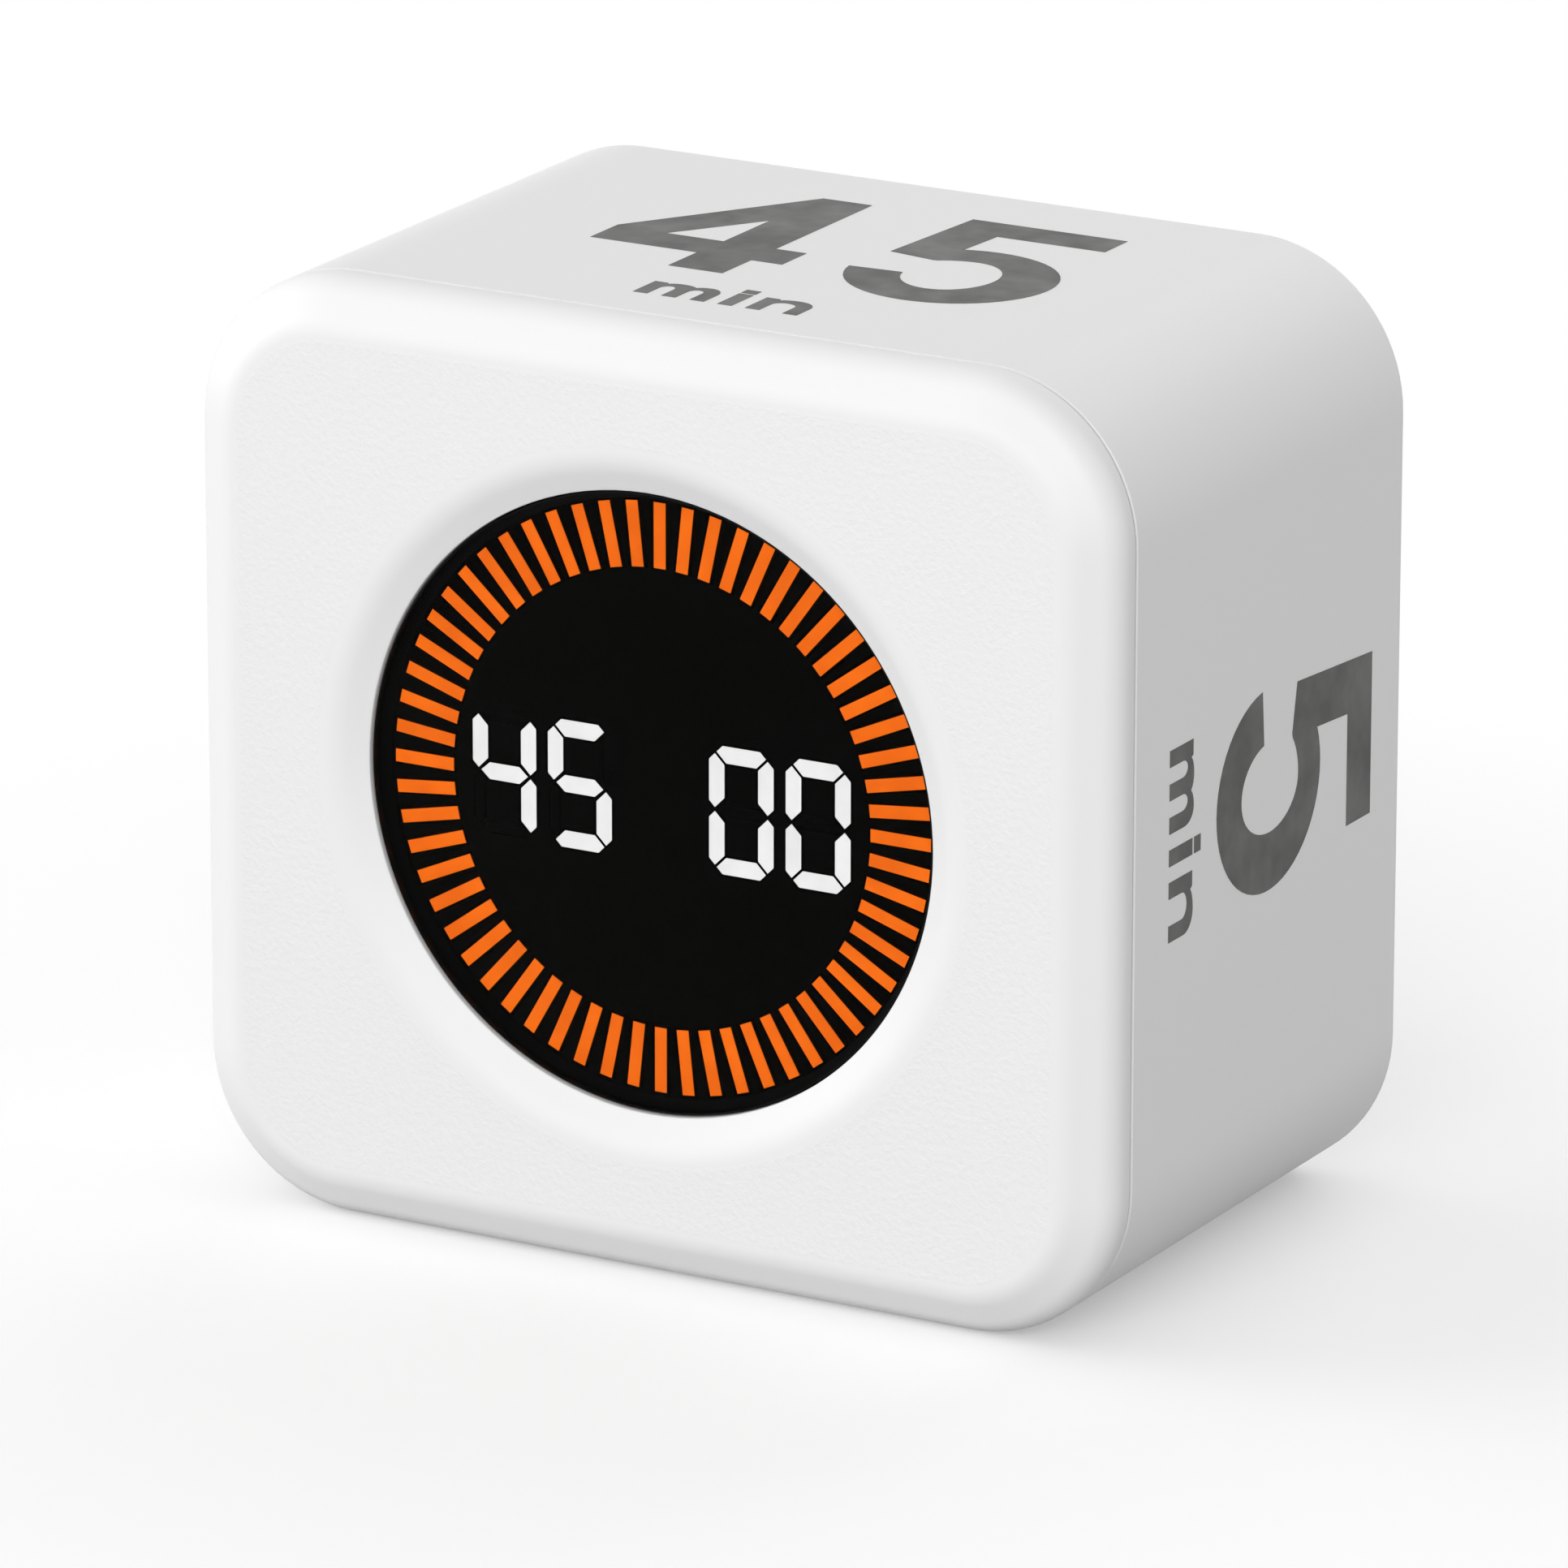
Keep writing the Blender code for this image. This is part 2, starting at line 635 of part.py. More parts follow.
def post_bores():
    """The clear bores through the posts."""
    bm = bmesh.new()
    radius = CASE_SCREW_RADIUS + GAP
    for centre in corners_of(post_across, post_up):
        turned(bm, [(radius, post_front - OVERRUN), (radius, cover_front + OVERRUN)], SCREW_STEPS, centre)
    return tool("post_bores", bm)


def grille_places():
    """Hole centres of the speaker grille: a middle hole and rings of six, twelve and so on."""
    places = [(0, speaker_up)]
    for number in range(1, GRILLE_RINGS + 1):
        places += circle(number * grille_pitch, 6 * number, (0, speaker_up))
    return places


def hollow_boss(bm, centre, radius, bore_radius, base, tip, floor):
    """A boss with a blind bore, reaching from a base depth to a tip depth, left open at its base ring."""
    foot = ring(bm, circle(radius, BOSS_STEPS, centre), base)
    top = ring(bm, circle(radius, BOSS_STEPS, centre), tip)
    mouth = ring(bm, circle(bore_radius, BOSS_STEPS, centre), tip)
    end = ring(bm, circle(bore_radius, BOSS_STEPS, centre), floor)
    wall(bm, foot, top)
    wall(bm, top, mouth)
    wall(bm, mouth, end)
    face_between(bm, [end])
    return foot


def stepped_hole(bm, centre):
    """A screw hole with a recess for the head, from the cover's inner face to its outer face."""
    shank = CASE_SCREW_RADIUS + GAP
    recess = CASE_HEAD_RADIUS + HEAD_CLEARANCE
    floor = cover_back - CASE_HEAD_HEIGHT - SCREW_GAP
    rings = [
        ring(bm, circle(shank, BOSS_STEPS, centre), cover_front),
        ring(bm, circle(shank, BOSS_STEPS, centre), floor),
        ring(bm, circle(recess, BOSS_STEPS, centre), floor),
        ring(bm, circle(recess, BOSS_STEPS, centre), cover_back),
    ]
    for i in range(1, len(rings)):
        wall(bm, rings[i - 1], rings[i])
    return rings[0], rings[-1]


def through_hole(bm, outline):
    """A hole of one outline through the cover."""
    near = ring(bm, outline, cover_front)
    far = ring(bm, outline, cover_back)
    wall(bm, near, far)
    return near, far


def speaker_cup(bm):
    """The cup wall round the speaker: its two rings on the cover's inner face."""
    tip = rear_parts_front
    outer = circle(cup_outer_radius, WIDE_STEPS // 2, (0, speaker_up))
    inner = circle(cup_inner_radius, WIDE_STEPS // 2, (0, speaker_up))
    foot = ring(bm, outer, cover_front)
    top_outer = ring(bm, outer, tip)
    top_inner = ring(bm, inner, tip)
    inside = ring(bm, inner, cover_front)
    wall(bm, foot, top_outer)
    wall(bm, top_outer, top_inner)
    wall(bm, top_inner, inside)
    return foot, inside


def make_rear_cover():
    """The inset rear panel with its holes, standoffs and speaker cup, all in one body."""
    bm = bmesh.new()
    outline = shell_outline(WALL + COVER_CLEARANCE)
    near_edge = ring(bm, outline, cover_front)
    far_edge = ring(bm, outline, cover_back)
    wall(bm, near_edge, far_edge)
    cup_foot, cup_inside = speaker_cup(bm)
    near = [near_edge, cup_foot]
    far = [far_edge]
    openings = [
        rounded_rectangle(
            USB_WIDTH + 2 * USB_CLEARANCE,
            USB_HEIGHT + 2 * USB_CLEARANCE,
            (USB_HEIGHT / 2 + USB_CLEARANCE) * USB_ROUND_SHARE,
            EDGE_STEPS,
            (0, usb_up),
        ),
        rounded_rectangle(slot_width, slot_height, KNOB_CORNER_RADIUS + GAP, EDGE_STEPS, (0, slide_up)),
        circle(BUTTON_RADIUS + GAP, BUTTON_STEPS, (-button_across, button_up)),
        circle(BUTTON_RADIUS + GAP, BUTTON_STEPS, (button_across, button_up)),
    ]
    for loop in openings:
        hole_near, hole_far = through_hole(bm, loop)
        near.append(hole_near)
        far.append(hole_far)
    for centre in corners_of(post_across, post_up):
        hole_near, hole_far = stepped_hole(bm, centre)
        near.append(hole_near)
        far.append(hole_far)
    bore = SMALL_SCREW_RADIUS + SCREW_GAP
    bore_floor = rear_parts_front + SMALL_SCREW_BITE + GAP
    for side in (-1, 1):
        for level in (standoff_low, standoff_high):
            centre = (side * standoff_across, level)
            foot = hollow_boss(bm, centre, STANDOFF_RADIUS, bore, cover_front, rear_parts_front, bore_floor)
            near.append(foot)
    inside_cup = [cup_inside]
    for centre in grille_places():
        hole_near, hole_far = through_hole(bm, circle(grille_hole_radius, HOLE_STEPS, centre))
        inside_cup.append(hole_near)
        far.append(hole_far)
    face_between(bm, near)
    face_between(bm, inside_cup)
    face_between(bm, far)
    return piece("rear_cover", bm, WHITE_SHELL)


def make_lens():
    """The smoked window, a disc with a flange behind the opening's lip, and its ring of tape."""
    bm = bmesh.new()
    profile = [
        (lens_radius, lens_front),
        (lens_radius, flange_front),
        (lens_flange_radius, flange_front),
        (lens_flange_radius, lens_back),
    ]
    turned(bm, profile, WIDE_STEPS)
    piece("display_lens", bm, SMOKED_LENS)
    bm = bmesh.new()
    outer = lens_flange_radius - FINE_GAP
    inner = outer - TAPE_WIDTH
    back = tape_front + TAPE_THICKNESS
    profile = [(outer, tape_front), (outer, back), (inner, back), (inner, tape_front)]
    turned(bm, profile, WIDE_STEPS, closed=True)
    piece("lens_tape", bm, TAPE_BLACK)


def bar_outlines(margin):
    """The bars of the ring, each grown by a margin on every side."""
    length = bar_outer_radius - bar_inner_radius + 2 * margin
    middle = (bar_outer_radius + bar_inner_radius) / 2
    turns = [2 * math.pi * i / BAR_COUNT for i in range(BAR_COUNT)]
    return [rectangle(length, bar_width + 2 * margin, (middle, 0), turn) for turn in turns]


def segment(centre, length, upright, margin):
    """A pointed segment of a digit, lying or upright, grown by a margin."""
    half = length / 2 - SEGMENT_GAP + margin
    side = segment_thickness / 2 + margin
    points = [(half, 0), (half - side, side), (side - half, side)]
    points += [(-x, -z) for x, z in points]
    if upright:
        points = [(-z, x) for x, z in points]
    return [(centre[0] + x, centre[1] + z) for x, z in points]


def digit_segments(centre, margin):
    """The seven segments of one digit: top, middle, bottom and the four uprights."""
    level = digit_height / 2 - segment_thickness / 2
    side = digit_width / 2 - segment_thickness / 2
    outlines = []
    for up in (level, 0, -level):
        outlines.append(segment((centre[0], centre[1] + up), 2 * side, False, margin))
    for across in (-side, side):
        for up in (-level / 2, level / 2):
            outlines.append(segment((centre[0] + across, centre[1] + up), level, True, margin))
    return outlines


def digit_places():
    """The middles of the four digits."""
    pairs = (-digit_pair_offset, digit_pair_offset)
    return [(pair + side * digit_pitch / 2, 0) for pair in pairs for side in (-1, 1)]


def make_display_frame():
    """The black frame with a window for every bar and segment, and a rim that stands on the board."""
    bm = bmesh.new()
    windows = bar_outlines(FINE_GAP)
    for place in digit_places():
        windows += digit_segments(place, FINE_GAP / 2)
    plate(bm, circle(lens_flange_radius, WIDE_STEPS), windows, frame_front, frame_back)
    frame = piece("display_frame", bm, BLACK_FRAME)
    bm = bmesh.new()
    outer = lens_flange_radius
    inner = outer - FRAME_RIM_WIDTH
    front = frame_back - SINK
    back = display_board_front - GAP
    turned(bm, [(outer, front), (outer, back), (inner, back), (inner, front)], WIDE_STEPS, closed=True)
    combine(frame, tool("frame_rim", bm), "UNION")
    return frame


def make_light_guides():
    """The orange ring of bars and the four white digits, each one moulding with raised windows."""
    bm = bmesh.new()
    outer = circle(bar_outer_radius + GUIDE_MARGIN, WIDE_STEPS)
    inner = circle(bar_inner_radius - GUIDE_MARGIN, WIDE_STEPS)
    plate_with_pegs(bm, outer, [inner], bar_outlines(0), guide_front, guide_back, guide_tip)
    piece("ring_light_guide", bm, ORANGE_GUIDE)
    width = digit_width + 2 * DIGIT_BASE_MARGIN
    height = digit_height + 2 * DIGIT_BASE_MARGIN
    for number, (across, up) in enumerate(digit_places(), 1):
        bm = bmesh.new()
        pegs = digit_segments((0, 0), -FINE_GAP / 2)
        thickness = guide_back - guide_front
        plate_with_pegs(bm, rectangle(width, height), [], pegs, 0, thickness, guide_tip - guide_front)
        piece(f"digit_guide_{number}", bm, WHITE_GUIDE, (across, guide_front, up))


def emitter_outlines():
    """The emitters under the bars and under the segments."""
    middle = (bar_outer_radius + bar_inner_radius) / 2
    turns = [2 * math.pi * i / BAR_COUNT for i in range(BAR_COUNT)]
    outlines = [rectangle(RING_EMITTER_LENGTH, RING_EMITTER_WIDTH, (middle, 0), turn) for turn in turns]
    level = digit_height / 2 - segment_thickness / 2
    side = digit_width / 2 - segment_thickness / 2
    spots = [(0, level), (0, 0), (0, -level)]
    spots += [(across, up) for across in (-side, side) for up in (-level / 2, level / 2)]
    for place in digit_places():
        for spot in spots:
            centre = (place[0] + spot[0], place[1] + spot[1])
            outlines.append(rectangle(DIGIT_EMITTER_SIDE, DIGIT_EMITTER_SIDE, centre))
    return outlines


def make_display_board():
    """The display's board with its emitters soldered on, one populated piece."""
    bm = bmesh.new()
    side = display_board_side
    outline = rounded_rectangle(side, side, DISPLAY_BOARD_CORNER_RADIUS, EDGE_STEPS)
    hole_radius = SMALL_SCREW_RADIUS + GAP
    places = corners_of(display_boss_offset, display_boss_offset)
    holes = [circle(hole_radius, SCREW_STEPS, centre) for centre in places]
    tip = display_board_front - EMITTER_HEIGHT
    plate_with_pegs(bm, outline, holes, emitter_outlines(), display_board_front, display_board_back, tip)
    piece("display_board", bm, BOARD_GREEN)


def make_main_board():
    """The main board behind the battery."""
    bm = bmesh.new()
    centre = (0, (main_board_low + main_board_high) / 2)
    size = (main_board_width, main_board_height)
    outline = rounded_rectangle(*size, BOARD_CORNER_RADIUS, EDGE_STEPS, centre)
    hole_radius = SMALL_SCREW_RADIUS + GAP
    holes = []
    for side in (-1, 1):
        for level in (standoff_low, standoff_high):
            holes.append(circle(hole_radius, SCREW_STEPS, (side * standoff_across, level)))
    plate(bm, outline, holes, main_board_front, main_board_back)
    piece("main_board", bm, BOARD_GREEN)


def make_chips():
    """The chips on the main board's front side."""
    back = main_board_front - GAP
    front = back - PROCESSOR_THICKNESS
    place = (PROCESSOR_ACROSS, processor_up)
    box_piece("processor_chip", PROCESSOR_SIDE, PROCESSOR_SIDE, front, back, place, CHIP_BLACK)
    place = (CHARGER_ACROSS, main_board_low + CHARGER_RAISE)
    box_piece("charger_chip", CHARGER_SIDE, CHARGER_SIDE, back - CHARGER_THICKNESS, back, place, CHIP_BLACK)
    place = (SENSOR_ACROSS, main_board_low + SENSOR_RAISE)
    box_piece("tilt_sensor", SENSOR_SIDE, SENSOR_SIDE, back - SENSOR_THICKNESS, back, place, CHIP_BLACK)
    place = (CRYSTAL_ACROSS, processor_up)
    box_piece("crystal", CRYSTAL_WIDTH, CRYSTAL_LENGTH, back - CRYSTAL_THICKNESS, back, place, STEEL)


def make_usb_socket():
    """The charging socket's metal shell, open to the rear, and the tongue inside it."""
    bm = bmesh.new()
    back = cover_back - USB_RECESS - rear_parts_front
    outer = rounded_rectangle(USB_WIDTH, USB_HEIGHT, USB_HEIGHT / 2 * USB_ROUND_SHARE, EDGE_STEPS)
    bore_height = USB_HEIGHT - 2 * USB_WALL
    bore_radius = bore_height / 2 * USB_ROUND_SHARE
    inner = rounded_rectangle(USB_WIDTH - 2 * USB_WALL, bore_height, bore_radius, EDGE_STEPS)
    stack(bm, [(outer, 0), (outer, back), (inner, back), (inner, USB_FLOOR)])
    piece("usb_shell", bm, STEEL, (0, rear_parts_front, usb_up))
    bm = bmesh.new()
    block = rectangle(TONGUE_BLOCK_WIDTH, TONGUE_BLOCK_HEIGHT)
    blade = rectangle(TONGUE_WIDTH, TONGUE_THICKNESS)
    start = USB_FLOOR + GAP
    step = start + TONGUE_BLOCK_LENGTH
    stack(bm, [(block, start), (block, step), (blade, step), (blade, back - USB_RECESS)])
    piece("usb_tongue", bm, CHIP_BLACK, (0, rear_parts_front, usb_up))


def make_button(side, across):
    """A rear button: the cap that moves, the switch plunger that moves with it and the switch's case."""
    bm = bmesh.new()
    flange_front_depth = -FLANGE_THICKNESS
    top = cover_back + BUTTON_RISE - cover_front + GAP
    profile = [
        (button_flange_radius, flange_front_depth),
        (button_flange_radius, 0),
        (BUTTON_RADIUS, 0),
        (BUTTON_RADIUS, top - BUTTON_EDGE_RADIUS),
        (BUTTON_RADIUS - BUTTON_EDGE_RADIUS, top),
    ]
    turned(bm, profile, BUTTON_STEPS)
    piece(f"button_{side}", bm, CONTROL_WHITE, (across, cover_front - GAP, button_up))
    bm = bmesh.new()
    steps = EDGE_STEPS
    square = rounded_rectangle(TACT_SIDE, TACT_SIDE, GAP, steps)
    well = circle(PLUNGER_RADIUS + GAP, len(square))
    floor = TACT_HEIGHT - TACT_WELL_DEPTH
    stack(bm, [(square, 0), (square, TACT_HEIGHT), (well, TACT_HEIGHT), (well, floor)])
    piece(f"tact_case_{side}", bm, CHIP_BLACK, (across, rear_parts_front, button_up))
    bm = bmesh.new()
    plunger_front = rear_parts_front + floor + BUTTON_TRAVEL + GAP
    plunger_back = cover_front - GAP - FLANGE_THICKNESS - GAP
    turned(bm, [(PLUNGER_RADIUS, 0), (PLUNGER_RADIUS, plunger_back - plunger_front)], SCREW_STEPS)
    piece(f"tact_plunger_{side}", bm, CHIP_BLACK, (across, plunger_front, button_up))


def make_slider():
    """The slide switch: its case, the lever in it and the knob that the lever carries."""
    bm = bmesh.new()
    case = rounded_rectangle(SLIDE_CASE_WIDTH, SLIDE_CASE_HEIGHT, GAP, EDGE_STEPS)
    well_width = LEVER_WIDTH + 2 * (SLIDE_TRAVEL + GAP)
    well = rounded_rectangle(well_width, LEVER_HEIGHT + 2 * GAP, GAP, EDGE_STEPS)
    floor = SLIDE_CASE_THICKNESS - SLIDE_WELL_DEPTH
    stack(bm, [(case, 0), (case, SLIDE_CASE_THICKNESS), (well, SLIDE_CASE_THICKNESS), (well, floor)])
    piece("slide_case", bm, STEEL, (0, rear_parts_front, slide_up))
    lever_front = rear_parts_front + floor + GAP
    knob_front = cover_front - GAP - FLANGE_THICKNESS
    lever_back = knob_front + LEVER_ENGAGEMENT
    place = (0, slide_up)
    box_piece("slide_lever", LEVER_WIDTH, LEVER_HEIGHT, lever_front, lever_back, place, CHIP_BLACK)
    bm = bmesh.new()
    length = slot_width + 2 * (SLIDE_TRAVEL + GAP)
    flange = rounded_rectangle(length, slot_height + FLANGE_WIDTH, KNOB_CORNER_RADIUS, EDGE_STEPS)
    grip = rounded_rectangle(KNOB_WIDTH, KNOB_HEIGHT, KNOB_CORNER_RADIUS, EDGE_STEPS)
    pocket = rounded_rectangle(LEVER_WIDTH + 2 * GAP, LEVER_HEIGHT + 2 * GAP, GAP, EDGE_STEPS)
    top = cover_back + KNOB_RISE - knob_front
    sections = [
        (pocket, LEVER_ENGAGEMENT + GAP),
        (pocket, 0),
        (flange, 0),
        (flange, FLANGE_THICKNESS),
        (grip, FLANGE_THICKNESS),
        (grip, top),
    ]
    stack(bm, sections)
    knob = piece("slider_knob", bm, CONTROL_WHITE, (0, knob_front, slide_up))
    combine(knob, knob_grooves(top), "DIFFERENCE")


def knob_grooves(top):
    """Upright grooves across the knob's grip."""
    bm = bmesh.new()
    for number in range(KNOB_GROOVE_COUNT):
        across = (number - (KNOB_GROOVE_COUNT - 1) / 2) * KNOB_GROOVE_PITCH
        outline = rectangle(KNOB_GROOVE_WIDTH, KNOB_HEIGHT + 2 * OVERRUN, (across, 0))
        stack(bm, [(outline, top - KNOB_GROOVE_DEPTH), (outline, top + OVERRUN)])
    return tool("knob_grooves", bm, (0, cover_front - GAP - FLANGE_THICKNESS, slide_up))


def make_cradle():
    """The battery cradle, clamped between the bezel's bosses and the housing's posts."""
    bm = bmesh.new()
    ear_radius = CORNER_BOSS_RADIUS
    outline = rounded_rectangle(2 * (post_across + ear_radius), 2 * cradle_reach, ear_radius, EDGE_STEPS)
    places = corners_of(post_across, post_up)
    holes = [circle(CASE_SCREW_RADIUS + GAP, SCREW_STEPS, place) for place in places]
    for level in (-1, 1):
        place = (0, level * cradle_slot_up)
        holes.append(rounded_rectangle(cradle_slot_width, cradle_slot_height, GAP, EDGE_STEPS, place))
    fronts = [ring(bm, loop, cradle_front) for loop in [outline, *holes]]
    backs = [ring(bm, loop, cradle_back) for loop in [outline, *holes]]
    for near, far in zip(fronts, backs):
        wall(bm, near, far)
    foot_outer, foot_inner = cradle_wall(bm)
    face_between(bm, fronts)
    face_between(bm, [*backs, foot_outer])
    face_between(bm, [foot_inner])
    cradle = piece("battery_cradle", bm, BLACK_FRAME)
    combine(cradle, cradle_hooks(), "UNION")


def cradle_wall(bm):
    """The low wall round the battery: its two rings on the plate's rear face."""
    inner_radius = BATTERY_CORNER_RADIUS + GAP
    inner = rounded_rectangle(BATTERY_WIDTH + 2 * GAP, BATTERY_HEIGHT + 2 * GAP, inner_radius, EDGE_STEPS)
    width = BATTERY_WIDTH + 2 * (GAP + CRADLE_WALL)
    outer = rounded_rectangle(width, 2 * cradle_wall_reach, inner_radius + CRADLE_WALL, EDGE_STEPS)
    top = cradle_back + CRADLE_WALL_HEIGHT
    foot_outer = ring(bm, outer, cradle_back)
    top_outer = ring(bm, outer, top)
    top_inner = ring(bm, inner, top)
    foot_inner = ring(bm, inner, cradle_back)
    wall(bm, foot_outer, top_outer)
    wall(bm, top_outer, top_inner)
    wall(bm, top_inner, foot_inner)
    return foot_outer, foot_inner


def cradle_hooks():
    """Two hooks that rise from the wall's short sides and reach over the battery's edge."""
    bm = bmesh.new()
    inner = BATTERY_WIDTH / 2 + GAP
    outer = inner + CRADLE_WALL
    tip = inner - HOOK_REACH
    foot = cradle_back + CRADLE_WALL_HEIGHT - SINK
    top = hook_front + HOOK_THICKNESS
    shape = [(inner + SINK, foot), (outer, foot), (outer, top), (tip, top)]
    shape += [(tip, hook_front), (inner, hook_front), (inner, cradle_back + CRADLE_WALL_HEIGHT + SINK)]
    for side in (-1, 1):
        low = [bm.verts.new((side * x, depth, -HOOK_LENGTH / 2)) for x, depth in shape]
        high = [bm.verts.new((side * x, depth, HOOK_LENGTH / 2)) for x, depth in shape]
        wall(bm, low, high)
        face_between(bm, [low])
        face_between(bm, [high])
    return tool("cradle_hooks", bm)


def make_battery():
    """The foil pouch with soft edges, and the foam pad that it lies on."""
    bm = bmesh.new()
    rounding = [math.pi / 2 * i / (EDGE_STEPS - 1) for i in range(EDGE_STEPS)]
    insets = [BATTERY_EDGE_RADIUS * (1 - math.sin(turn)) for turn in rounding]
    depths = [BATTERY_EDGE_RADIUS * (1 - math.cos(turn)) for turn in rounding]
    near = list(zip(insets, depths))
    far = [(inset, BATTERY_THICKNESS - depth) for inset, depth in reversed(near)]
    sections = []
    for inset, depth in near + far:
        width = BATTERY_WIDTH - 2 * inset
        height = BATTERY_HEIGHT - 2 * inset
        sections.append((rounded_rectangle(width, height, BATTERY_CORNER_RADIUS, EDGE_STEPS), depth))
    stack(bm, sections)
    piece("battery", bm, POUCH_SILVER, (0, battery_front, 0))
    width = BATTERY_WIDTH - 2 * PAD_MARGIN
    height = BATTERY_HEIGHT - 2 * PAD_MARGIN
    box_piece("battery_pad", width, height, pad_front, pad_front + PAD_THICKNESS, (0, 0), FOAM_GREY)


def make_power_socket():
    """The battery's socket on the main board and the plug that sits in it."""
    bm = bmesh.new()
    inner = rectangle(PLUG_WIDTH + 2 * GAP, PLUG_HEIGHT + 2 * GAP)
    grow = 2 * (GAP + SOCKET_WALL)
    outer = rectangle(PLUG_WIDTH + grow, PLUG_HEIGHT + grow)
    back = main_board_front - GAP
    stack(bm, [(inner, -SOCKET_FLOOR), (inner, -SOCKET_LENGTH), (outer, -SOCKET_LENGTH), (outer, 0)])
    place = (power_socket_across, back, power_socket_up)
    piece("battery_socket", bm, CONNECTOR_WHITE, place)
    plug_back = back - SOCKET_FLOOR - GAP
    centre = (power_socket_across, power_socket_up)
    plug_front = plug_back - PLUG_LENGTH
    box_piece("battery_plug", PLUG_WIDTH, PLUG_HEIGHT, plug_front, plug_back, centre, CONNECTOR_WHITE)


def smooth_route(corners, spacing):
    """Evenly spaced points on a smooth curve through the corners of a route."""
    ends = [2 * corners[0] - corners[1], *corners, 2 * corners[-1] - corners[-2]]
    fine = []
    for i in range(1, len(ends) - 2):
        before, start, end, after = ends[i - 1 : i + 3]
        count = max(1, round((end - start).length / spacing))
        for step in range(count):
            t = step / count
            slope = (end - before) * t + (2 * before - 5 * start + 4 * end - after) * t**2
            fine.append(start + (slope + (3 * start - before - 3 * end + after) * t**3) / 2)
    fine.append(ends[-2])
    return fine


def make_lead(name, corners, radius, finish):
    """An insulated lead along a route."""
    route = smooth_route([Vector(corner) for corner in corners], 2 * radius * LEAD_SPACING_DIAMETERS)
    curve = bpy.data.curves.new(name, "CURVE")
    curve.dimensions = "3D"
    curve.bevel_depth = radius
    curve.bevel_resolution = 2
    curve.use_fill_caps = True
    spline = curve.splines.new("POLY")
    spline.points.add(len(route) - 1)
    for point, place in zip(spline.points, route):
        point.co = (*place, 1)
    link(name, curve, (0, 0, 0), finish)


def make_battery_leads():
    """Two leads from the pouch's lower edge, over the cradle's wall and into the plug."""
    exit_depth = (battery_front + battery_back) / 2 + LEAD_RADIUS / 2
    exit_up = -BATTERY_HEIGHT / 2 - GAP
    plug_front = main_board_front - GAP - SOCKET_FLOOR - GAP - PLUG_LENGTH
    end_depth = plug_front - GAP
    for name, side, finish in (("red", -1, RED_WIRE), ("black", 1, BLACK_WIRE)):
        across = power_socket_across + side * LEAD_PITCH / 2
        bend = LEAD_PITCH
        corners = [
            (across, exit_depth, exit_up),
            (across, exit_depth, exit_up - LEAD_RADIUS),
            (across, exit_depth, power_socket_up + bend),
            (across, exit_depth + (end_depth - exit_depth) / 3, power_socket_up + bend / 5),
            (across, end_depth, power_socket_up),
        ]
        make_lead(f"battery_lead_{name}", corners, LEAD_RADIUS, finish)


def make_ribbon():
    """The flat ribbon between the boards and the socket at each end."""
    low = ribbon_front_up - RIBBON_SOCKET_HEIGHT / 2 - GAP
    front_socket_front = display_board_back + GAP
    rear_socket_back = main_board_front - GAP
    front_line = front_socket_front + RIBBON_SOCKET_THICKNESS / 2
    rear_line = rear_socket_back - RIBBON_SOCKET_THICKNESS / 2
    bend_up = ribbon_line + RIBBON_BEND_RADIUS
    bend = [math.pi / 2 * i / EDGE_STEPS for i in range(EDGE_STEPS + 1)]
    middle = [(front_line, low, 0)]
    for turn in bend:
        depth = front_line + RIBBON_BEND_RADIUS * (1 - math.cos(turn))
        middle.append((depth, bend_up - RIBBON_BEND_RADIUS * math.sin(turn), turn))
    for turn in reversed(bend):
        depth = rear_line - RIBBON_BEND_RADIUS * (1 - math.cos(turn))
        middle.append((depth, bend_up - RIBBON_BEND_RADIUS * math.sin(turn), math.pi - turn))
    bm = bmesh.new()
    rings = []
    for depth, up, turn in middle:
        out_depth = -math.cos(turn) * RIBBON_THICKNESS / 2
        out_up = -math.sin(turn) * RIBBON_THICKNESS / 2
        rings.append([
            bm.verts.new((-RIBBON_WIDTH / 2, depth + out_depth, up + out_up)),
            bm.verts.new((RIBBON_WIDTH / 2, depth + out_depth, up + out_up)),
            bm.verts.new((RIBBON_WIDTH / 2, depth - out_depth, up - out_up)),
            bm.verts.new((-RIBBON_WIDTH / 2, depth - out_depth, up - out_up)),
        ])
    for i in range(1, len(rings)):
        wall(bm, rings[i - 1], rings[i])
    face_between(bm, [rings[0]])
    face_between(bm, [rings[-1]])
    piece("ribbon_cable", bm, RIBBON_AMBER, (ribbon_across, 0, 0))
    size = (RIBBON_SOCKET_WIDTH, RIBBON_SOCKET_HEIGHT)
    back = front_socket_front + RIBBON_SOCKET_THICKNESS
    place = (ribbon_across, ribbon_front_up)
    box_piece("ribbon_socket_front", *size, front_socket_front, back, place, CONNECTOR_WHITE)
    front = rear_socket_back - RIBBON_SOCKET_THICKNESS
    place = (ribbon_across, ribbon_rear_up)
    box_piece("ribbon_socket_rear", *size, front, rear_socket_back, place, CONNECTOR_WHITE)


